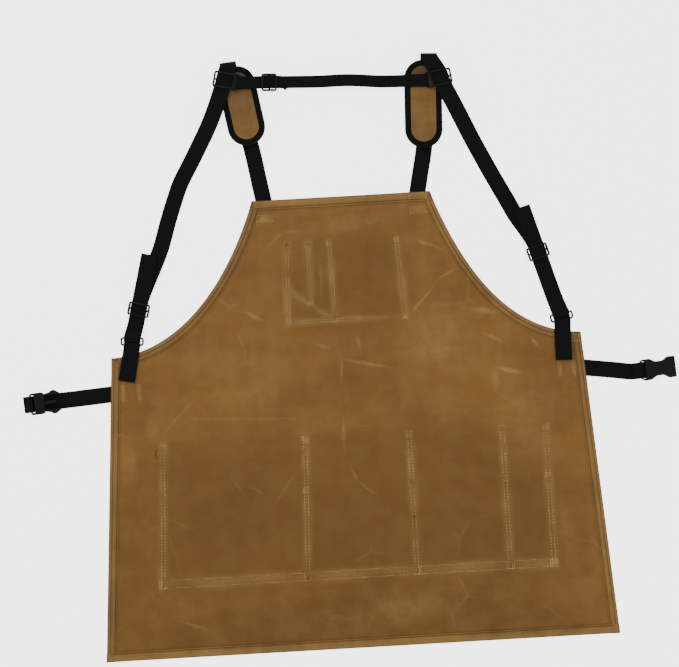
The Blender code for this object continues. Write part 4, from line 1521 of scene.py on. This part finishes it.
@dataclass
class Straps:
    """All the webbing of the harness."""

    finishes: Finishes
    ring_height: float = 0.013
    ring_wire: float = 0.003
    ring_play: float = 0.0015
    ring_slack: float = 0.0022
    eye_ease: float = 0.0004
    ring_z: float = 0.0078
    over_pad_z: float = 0.0126
    slider_z: float = 0.0102
    eye_length: float = 0.012
    strap_eye_length: float = 0.020
    sewn_end: float = 0.028
    past_slider: float = 0.0070
    past_adjuster: float = 0.014
    slider_reach: float = 0.0211
    slider_bar: float = 0.0018
    cross_width: float = 0.0180
    cross_tail: float = -0.0620
    cross_return: float = 0.025
    curl: float = 0.0022
    loop_slack: float = 0.0008

    def build(self) -> None:
        """Build every strap that rides on the apron."""
        for side in Side:
            harness = Harness.of(side)
            self._main(harness)
            self._ring_loop(harness)
        self._cross()

    def _bars(self, h: Harness) -> tuple[Array, Array, Array]:
        """A ring's lower and upper bars, and the way they run."""
        rise = lean(h.ring_lean)
        reach = (self.ring_height - self.ring_wire) / 2
        centre = spot(h.ring, self.ring_z)
        return centre - rise * reach, centre + rise * reach, square_to(rise)

    def _main(self, h: Harness) -> None:
        """One side's webbing, from the bib over the pad and round the ring to its tail."""
        sewn, low = spot(h.sewn), spot(h.pad_low)
        rise = unit(low - sewn)
        radius = (self.over_pad_z - FLOOR_Z) / 2
        path = unit(spot(h.fold) - spot(h.off_pad))
        slide, back = unit(path + lean(h.slider_lean)), lean(h.back_lean)
        slider = spot(h.slider, self.over_pad_z)
        _, upper, bar = self._bars(h)
        level = self.ring_z - self.ring_wire / 2 - self.ring_play - WEBBING / 2
        ring = spot(h.ring)
        start = ring + back * (self.ring_height - self.ring_wire) / 2
        fold = spot(h.fold, (self.over_pad_z + FLOOR_Z) / 2)
        stations: list[Station] = [
            (sewn - rise * self.sewn_end + up(SEWN_Z), None),
            (sewn + up(SEWN_Z), None),
            (sewn + rise * 0.35 * self.sewn_end + up((SEWN_Z + FLOOR_Z) / 2), None),
            (sewn + rise * self.sewn_end + up(FLOOR_Z), None),
            (low + up(FLOOR_Z), None),
            (spot(h.fold, FLOOR_Z) - np.array([0.0, 0.02, 0.0]), None),
        ]
        crease = lean(90.0 - h.fold_tilt)
        stations += wrap(fold, radius, np.array([0.0, 1.0, 0.0]), crease, 10)
        stations += [
            (slider + slide * self.past_slider, square_to(slide)),
            (slider - slide * self.past_slider, square_to(slide)),
            (spot(h.off_pad, self.over_pad_z), None),
            (spot(h.touch_down, FLOOR_Z), None),
        ]
        for index, bend in enumerate(h.bends):
            last = index == len(h.bends) - 1
            stations.append((spot(bend, level if last else FLOOR_Z), None))
        side = square_to(back)
        stations += [
            (ring + back * (h.adjuster_run + self.past_adjuster) + up(level), side),
            (ring + back * (h.adjuster_run - self.past_adjuster) + up(level), side),
            (start + back * self.strap_eye_length + up(level), side),
        ]
        eye = self.ring_wire / 2 + self.ring_play + WEBBING / 2 + self.eye_ease
        stations += wrap(upper, eye, -back, bar, slack=self.ring_slack)
        over = level + LAYER
        tail = h.adjuster_run + h.tail_run
        stations += [
            (start + back * self.strap_eye_length + up(over), side),
            (ring + back * h.adjuster_run + up(over), side),
            (ring + back * (h.adjuster_run + self.past_adjuster) + up(over), side),
            (ring + back * (tail - 0.02) + up(over + self.curl / 2), side),
            (ring + back * tail + up(over + self.curl), side),
        ]
        name = f"harness_strap_{h.side.tag}"
        piece = strap(name, stations)
        settle(piece, self.finishes.web, "webbing", BODY, f"harness_webbing_{h.side.tag}")

    def _ring_loop(self, h: Harness) -> None:
        """The doubled loop that holds a ring at the waist corner."""
        lower, _, bar = self._bars(h)
        end, foot = spot(h.loop_end), lower * (1.0, 1.0, 0.0)
        run = unit(foot - end)
        low = HEM_TOP + GAP + WEBBING / 2
        side = square_to(run)
        eye = self.ring_wire / 2 + GAP + WEBBING / 2
        near = foot - run * self.eye_length
        stations: list[Station] = [(end + up(low), side), (near + up(low), side)]
        stations += wrap(lower, eye, run, bar, slack=self.loop_slack)
        stations += [(near + up(low + LAYER), side), (end + up(low + LAYER), side)]
        piece = strap(f"ring_strap_{h.side.tag}", stations)
        settle(piece, self.finishes.web, "webbing", BODY, f"ring_loop_{h.side.tag}")

    def _slider_bar(self, h: Harness) -> tuple[Array, Array]:
        """The bar of a slider that holds the cross strap, and the way it runs."""
        run = lean(h.slider_lean)
        place = spot(h.slider) - square_to(run) * self.slider_reach * h.side.value
        return place + up(self.slider_z + 0.0024), run

    def _cross(self) -> None:
        """The strap between the shoulders, with its tail beneath."""
        left, left_side = self._slider_bar(LEFT_HARNESS)
        right, right_side = self._slider_bar(RIGHT_HARNESS)
        run = unit((right - left) * (1.0, 1.0, 0.0))
        eye = self.slider_bar / math.sqrt(2) + GAP + WEBBING / 2
        low = left[2] - eye
        side = square_to(run)

        def at(x: float, z: float) -> Array:
            """A point on the strap's line."""
            return (left + run * ((x - left[0]) / run[0])) * (1.0, 1.0, 0.0) + up(z)

        stations: list[Station] = [
            (at(self.cross_tail, low - 0.0026) - np.array([0.0, 0.004, 0.0]), side),
            (at(self.cross_tail - 0.008, low), side),
            (at(left[0] + self.eye_length, low), side),
        ]
        stations += wrap(left, eye, -run, left_side)
        over = low + LAYER
        stations += [
            (at(left[0] + self.eye_length, over), side),
            (at(self.cross_tail, over), side),
            (at(-0.020, over - 0.0010) + np.array([0.0, 0.0002, 0.0]), side),
            (at(0.025, over - 0.0012) + np.array([0.0, 0.0018, 0.0]), side),
            (at(0.075, over - 0.0004) - np.array([0.0, 0.0009, 0.0]), side),
            (at(right[0] - self.eye_length, over), side),
        ]
        stations += list(reversed(wrap(right, eye, run, right_side)))
        stations += [
            (at(right[0] - self.eye_length, low), side),
            (at(right[0] - self.cross_return, low), side),
        ]
        piece = strap("shoulder_cross_strap", stations, self.cross_width)
        settle(piece, self.finishes.web, "webbing", BODY, "cross_strap")


# ---------------------------------------------------------------- pads


@dataclass
class Pad:
    """One shoulder pad: a canvas cushion on a lining, bound with tape."""

    harness: Harness
    finishes: Finishes
    width: float = 0.055
    binding: float = 0.009
    tape: float = 0.0008
    cap: float = 0.0016
    voxel: float = 0.0016
    pressure: float = 4.0
    stiffness: float = 20.0
    last_frame: int = 20
    crown_rise: float = 0.0016
    crown_reach: float = 0.42
    wrinkle: float = 0.00016

    def __post_init__(self) -> None:
        """Find the pad's axis and layers."""
        low, high = spot(self.harness.pad_low), spot(self.harness.pad_high)
        self.length = float(np.linalg.norm(high - low))
        self.axis = unit(high - low)
        self.side = square_to(self.axis)
        self.low = low
        tag = self.harness.side.tag
        self.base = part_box(f"pad_binding_{tag}")[0].z
        self.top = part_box(f"pad_binding_{tag}")[1].z
        self.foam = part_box(f"pad_foam_{tag}")[0].z
        self.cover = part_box(f"pad_cover_{tag}")[1].z

    def build(self) -> None:
        """Build the cushion, its lining and its binding."""
        tag = self.harness.side.tag
        cushion = self._disc(f"pad_cushion_{tag}", 0.0018, self.foam, self.cover - 0.0008, 0.0022)
        self._swell(cushion)
        smooth(cushion, 60.0)
        stands_for = f"pad_cover_{tag}", f"pad_foam_{tag}"
        settle(cushion, self.finishes.pad, "pad_canvas", BODY, *stands_for)
        low, high = self.base + 0.001, self.foam - GAP
        lining = self._disc(f"pad_underside_{tag}", 0.0012, low, high, 0.004)
        smooth(lining)
        settle(lining, self.finishes.lining, "pad_lining", BODY, f"pad_backing_{tag}")
        self._bind()

    def _loop(self) -> Array:
        """Points round the pad's outline, in plan."""
        r = self.width / 2
        far = self.length - r
        turn = np.linspace(0.0, math.pi, 25)
        head = np.column_stack([r * np.cos(turn), far + r * np.sin(turn)])
        foot = np.column_stack([-r * np.cos(turn), r - r * np.sin(turn)])
        loop = np.vstack([head, foot, head[:1]])
        return evenly(loop, 0.003)[:-1]

    def _world(self, plan: Array, z: float | Array = 0.0) -> Array:
        """Pad positions in the apron's frame."""
        flat = self.low + np.outer(plan[:, 0], self.side) + np.outer(plan[:, 1], self.axis)
        flat[:, 2] = z
        return flat

    def _disc(
        self, name: str, inset: float, low: float, high: float, cell: float
    ) -> Piece:
        """A closed slab in the pad's outline, with an even top.

        Args:
            name: Name of the piece.
            inset: Distance inside the pad's outline.
            low: Height of its underside.
            high: Height of its top.
            cell: Size of its faces.

        Returns:
            The slab.
        """
        columns = np.linspace(-1.0, 1.0, max(6, round(self.width / cell)))
        rows = np.linspace(0.0, 1.0, max(10, round(self.length / cell)))
        r = self.width / 2 - inset

        def place(i: Array, j: Array) -> Array:
            """Crossing points drawn in to the rounded outline."""
            u, v = columns[j], inset + rows[i] * (self.length - 2 * inset)
            into = np.maximum(np.maximum(inset + r - v, v - (self.length - inset - r)), 0.0)
            half = np.sqrt(np.maximum(r * r - np.minimum(into, r * 0.9995) ** 2, 0.0))
            return self._world(np.column_stack([u * half, v]), (low + high) / 2)

        piece = grid_piece(name, rows * self.length, columns * r, place)
        step = piece.modifiers.new("Thickness", "SOLIDIFY")
        step.thickness = high - low
        step.offset = 0.0
        finish_modifiers(piece)
        clean(piece, merge=0.00005)
        return piece

    def _swell(self, cushion: Piece) -> None:
        """Fill the cushion by simulation, keep its seam down, crown its top and paint shadow onto its
        top end.
        """
        step = cushion.modifiers.new("Remesh", "REMESH")
        step.mode = "VOXEL"
        step.voxel_size = self.voxel
        finish_modifiers(cushion)
        rest = positions(cushion)
        cloth = cushion.modifiers.new("Cloth", "CLOTH")
        cloth.settings.use_pressure = True
        cloth.settings.uniform_pressure_force = self.pressure
        cloth.settings.effector_weights.gravity = 0.0
        cloth.settings.tension_stiffness = self.stiffness
        cloth.point_cache.frame_start = 1
        cloth.point_cache.frame_end = self.last_frame
        for frame in range(1, self.last_frame + 1):
            bpy.context.scene.frame_set(frame)
        finish_modifiers(cushion)
        bpy.context.scene.frame_set(1)
        moved = positions(cushion) - rest
        size = np.linalg.norm(moved, axis=1, keepdims=True)
        moved *= np.minimum(1.0, self.cap / np.maximum(size, 1e-9))
        spots = rest + moved
        local = spots - self.low
        u, v = local @ self.side, local @ self.axis
        r = self.width / 2
        into = np.maximum(np.maximum(r - v, v - (self.length - r)), 0.0)
        edge = np.clip((r - np.hypot(u, into)) / r, 0.0, 1.0)
        crown = eased(np.clip(edge / self.crown_reach, 0.0, 1.0))
        above = spots[:, 2] > (self.foam + self.cover) / 2
        top = self.cover - self.crown_rise + self.crown_rise * crown
        wrinkle = self.wrinkle * np.sin(210.0 * v + 60.0 * u) * np.sin(150.0 * u + 1.0)
        spots[:, 2] = np.where(above, top + wrinkle, np.maximum(spots[:, 2], self.foam))
        put(cushion, spots)
        mark(cushion, "pale", 0.7 * np.clip(1.15 - edge / 0.34, 0.0, 1.0) * (v < self.length * 0.6))
        # Painted shadow: the top end of the cushion is painted dark, as the shade where the pad turns
        # away over the shoulder.
        shadow = np.clip((0.036 - (self.length - v)) / 0.016, 0.0, 1.0)
        mark(cushion, "dark", 0.8 * shadow)

    def _bind(self) -> None:
        """The tape round the pad."""
        tag = self.harness.side.tag
        t, w = self.tape, self.binding
        base, top = self.base, self.top
        ring = self._loop()
        run = unit(np.roll(ring, -1, axis=0) - np.roll(ring, 1, axis=0))
        inward = np.column_stack([-run[:, 1], run[:, 0]])
        middle = (base + top) / 2
        outer = [
            (w, top - 0.0011),
            (w - 0.0006, top - 0.0004),
            (w - 0.0020, top - 0.0004),
            (w * 0.5, top),
            (0.0016, top - 0.0004),
            (0.0005, top - 0.0012),
            (0.0, middle),
            (0.0005, base + 0.0010),
            (0.0016, base + 0.0002),
            (w * 0.5, base),
            (w, base + 0.0001),
        ]
        inner = [
            (w, base + t),
            (w * 0.5, base + t),
            (0.0020, base + t + 0.0002),
            (t + 0.0001, middle),
            (0.0020, top - t - 0.0004),
            (w * 0.5, top - t - 0.0001),
            (w, top - t - 0.0009),
        ]
        profile = np.array(outer + inner)
        sides = np.outer(inward[:, 0], self.side) + np.outer(inward[:, 1], self.axis)
        ups = np.tile((0.0, 0.0, 1.0), (len(ring), 1))
        piece = sweep(f"pad_tape_{tag}", self._world(ring), sides, ups, profile, ring=True)
        smooth(piece, 60.0)
        settle(piece, self.finishes.tape, "binding", BODY, f"pad_binding_{tag}")


# ---------------------------------------------------------------- moulded hardware


@dataclass(frozen=True)
class Moulding:
    """A moulded piece: its CAD node, its name, its body and the radius of its edges, if rounded."""

    node: str
    name: str
    body: str
    edge: float


MOULDINGS = (
    Moulding("strap_adjuster_left", "tri_glide_left", "left_adjuster", 0.0006),
    Moulding("strap_adjuster_right", "tri_glide_right", "right_adjuster", 0.0006),
    Moulding("cross_strap_adjuster", "tri_glide_cross", "cross_adjuster", 0.00045),
    Moulding("cross_strap_slider_left", "shoulder_slider_left", BODY, 0.0004),
    Moulding("cross_strap_slider_right", "shoulder_slider_right", BODY, 0.0004),
    Moulding("buckle_male", "buckle_half_male", "male_buckle", 0.0006),
    Moulding("buckle_prong_upper", "prong_upper", "upper_prong", 0.0006),
    Moulding("buckle_prong_lower", "prong_lower", "lower_prong", 0.0006),
    Moulding("buckle_female", "buckle_half_female", "female_buckle", 0.0006),
    Moulding("ring_left", "wire_ring_left", "left_ring", 0.0),
    Moulding("ring_right", "wire_ring_right", "right_ring", 0.0),
)


@dataclass
class Hardware:
    """The moulded plastic pieces."""

    finishes: Finishes

    def build(self) -> None:
        """Build every piece, with its edges rounded where its moulding gives a radius."""
        for moulding in MOULDINGS:
            self._round(moulding)

    def _round(self, moulding: Moulding) -> None:
        """A copy of a CAD node with its doubled points merged and, where it has an edge radius, its
        edges rounded.
        """
        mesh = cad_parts[moulding.node].data.copy()
        piece = bpy.data.objects.new(moulding.name, mesh)
        bpy.context.scene.collection.objects.link(piece)
        choose(piece)
        bpy.ops.object.mode_set(mode="EDIT")
        bpy.ops.mesh.select_all(action="SELECT")
        bpy.ops.mesh.remove_doubles(threshold=0.00001)
        bpy.ops.object.mode_set(mode="OBJECT")
        if moulding.edge:
            step = piece.modifiers.new("Edges", "BEVEL")
            step.width = moulding.edge
            step.segments = 3
            step.limit_method = "ANGLE"
            step.angle_limit = math.radians(32)
            step.use_clamp_overlap = True
            finish_modifiers(piece)
        smooth(piece, 35.0)
        settle(piece, self.finishes.plastic, "hardware", moulding.body, moulding.node)


# ---------------------------------------------------------------- waist straps


@dataclass
class WaistStraps:
    """The two waist straps, each with the end that is sewn under the apron's side."""

    finishes: Finishes
    outline: Outline
    left: tuple[Plan, ...] = ((-0.3592, 0.2236), (-0.3890, 0.2215), (-0.4650, 0.2165))
    right: tuple[Plan, ...] = ((0.3592, 0.2222), (0.3905, 0.2177), (0.4290, 0.2150))
    heading: float = 4.0
    fold: float = 0.010
    fold_back: float = 0.013
    buckle_bar: float = 0.0024
    female_height: float = 0.0078
    anchor: float = 0.045
    hinge_reach: float = 0.0023
    female_slack: float = 0.0028

    def build(self) -> None:
        """Build both straps."""
        self._left()
        self._right()

    def _edge(self, route: Sequence[Plan], side: Side) -> tuple[Array, Array]:
        """Where the strap leaves the apron, and the way it runs."""
        start = spot(route[0])
        outward = unit(spot(route[1]) - start)
        foot, waist = self.outline.foot(side), self.outline.waist(side)
        share = (start[1] - foot[1]) / (waist[1] - foot[1])
        edge_x = foot[0] + (waist[0] - foot[0]) * share
        return start - outward * (abs(start[0]) - abs(edge_x)), outward

    def _finish(self, side: Side, edge: Array, outward: Array, stations: list[Station]) -> None:
        """Make one strap, dress it and hide the CAD nodes that it stands for."""
        start: list[Station] = [
            (edge - outward * self.anchor + up(SEWN_Z), None),
            (edge - outward * 0.004 + up(SEWN_Z), None),
            (edge + outward * self.hinge_reach + up(SEWN_Z), None),
        ]
        piece = strap(f"waist_belt_{side.tag}", start + stations)
        piece.data.materials.clear()
        piece.data.materials.append(self.finishes.web)
        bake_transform(piece)
        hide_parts(f"waist_strap_anchor_{side.tag}", f"waist_strap_{side.tag}")
        LOG.info("%s: %d faces", piece.name, len(piece.data.polygons))

    def _left(self) -> None:
        """The left strap, folded under the male half of the buckle."""
        edge, outward = self._edge(self.left, Side.LEFT)
        end = spot(self.left[-1])
        turn = math.radians(self.heading)
        away = np.array([-math.cos(turn), -math.sin(turn), 0.0])
        bar_side = square_to(away)
        eye = self.buckle_bar / math.sqrt(2) + GAP + WEBBING / 2
        first = FLOOR_Z + LAYER
        bar = end + up(first + eye)
        stations: list[Station] = [(spot(self.left[1], FLOOR_Z), None)]
        stations.append((end + up(FLOOR_Z), bar_side))
        middle = end + away * self.fold + up((FLOOR_Z + first) / 2)
        stations += wrap(middle, LAYER / 2, away, bar_side, 6)
        stations += wrap(bar, eye, -away, bar_side)
        last = end + up(first + LAYER)
        stations += [(last + away * run, bar_side) for run in (self.fold - 0.002, self.fold)]
        self._finish(Side.LEFT, edge, outward, stations)

    def _right(self) -> None:
        """The right strap, sewn back on itself behind the female half of the buckle."""
        edge, outward = self._edge(self.right, Side.RIGHT)
        end = spot(self.right[-1])
        turn = math.radians(self.heading)
        away = np.array([math.cos(turn), math.sin(turn), 0.0])
        bar_side = square_to(away)
        eye = self.buckle_bar / math.sqrt(2) + GAP + WEBBING / 2
        bar = end + up(GAP + self.female_height / 2)
        foot = end - away * self.fold_back + up(FLOOR_Z + GAP)
        stations: list[Station] = [(spot(self.right[1], FLOOR_Z), None), (foot, bar_side)]
        stations += wrap(bar, eye, away, bar_side, slack=self.female_slack)
        stations += [
            (bar - away * (self.fold_back - 0.004) + up(LAYER - eye), bar_side),
            (foot + up(LAYER), bar_side),
        ]
        self._finish(Side.RIGHT, edge, outward, stations)


# ---------------------------------------------------------------- the studio


@dataclass
class Studio:
    """Camera, lights and floor."""

    look_at: Plan = (-0.0086, 0.2943)
    turn: float = -3.3
    frame_width: float = 0.995
    lens: float = 80.0
    sensor: float = 36.0
    sky: float = 1.0

    def build(self) -> None:
        """Set up the studio."""
        self._camera()
        self._floor()
        self._lights()

    def _camera(self) -> None:
        """A camera straight above the apron."""
        data = bpy.data.cameras.new("camera")
        data.lens, data.sensor_width = self.lens, self.sensor
        data.clip_start, data.clip_end = 0.1, 50.0
        camera = bpy.data.objects.new("camera", data)
        camera.location = (*self.look_at, self.frame_width * self.lens / self.sensor)
        camera.rotation_euler = (0.0, 0.0, math.radians(self.turn))
        bpy.context.scene.collection.objects.link(camera)
        bpy.context.scene.camera = camera

    def _floor(self) -> None:
        """A wide plain floor."""
        bpy.ops.object.select_all(action="DESELECT")
        bpy.ops.mesh.primitive_plane_add(size=90.0, location=(0.0, 0.3, -0.0002))
        floor = bpy.context.active_object
        floor.name = "pale_floor"
        floor.data.materials.append(Paper().make())

    def _lights(self) -> None:
        """Soft light from above and from two sides, and a pale surround."""
        world = bpy.data.worlds.new("surround")
        world.use_nodes = True
        back = world.node_tree.nodes["Background"]
        back.inputs["Color"].default_value = (1.0, 1.0, 1.0, 1.0)
        back.inputs["Strength"].default_value = self.sky
        bpy.context.scene.world = world
        lamps = (
            ("key", (-0.9, 1.6, 1.9), 1.1, 16.0),
            ("fill", (1.4, -0.9, 1.8), 1.6, 8.0),
        )
        for name, place, size, power in lamps:
            data = bpy.data.lights.new(name, "AREA")
            data.shape = "SQUARE"
            data.size, data.energy = size, power
            lamp = bpy.data.objects.new(name, data)
            lamp.location = place
            aim = Vector((0.0, 0.25, 0.0)) - Vector(place)
            lamp.rotation_euler = aim.to_track_quat("-Z", "Y").to_euler()
            bpy.context.scene.collection.objects.link(lamp)


def main() -> None:
    """Build the apron's looks in order."""
    logging.basicConfig(level=logging.INFO, format="%(name)s %(message)s")
    Studio().build()
    finishes = Finishes()
    lay, outline, rows = Lay(), Outline(), PocketRows()
    Pockets(finishes).build()
    panel = Panel(lay, outline, rows, finishes)
    panel.build()
    sewing = Sewing(lay)
    panel.sew(sewing)
    Straps(finishes).build()
    for side in Side:
        Pad(Harness.of(side), finishes).build()
    Hardware(finishes).build()
    WaistStraps(finishes, outline).build()


if __name__ == "__main__":
    main()
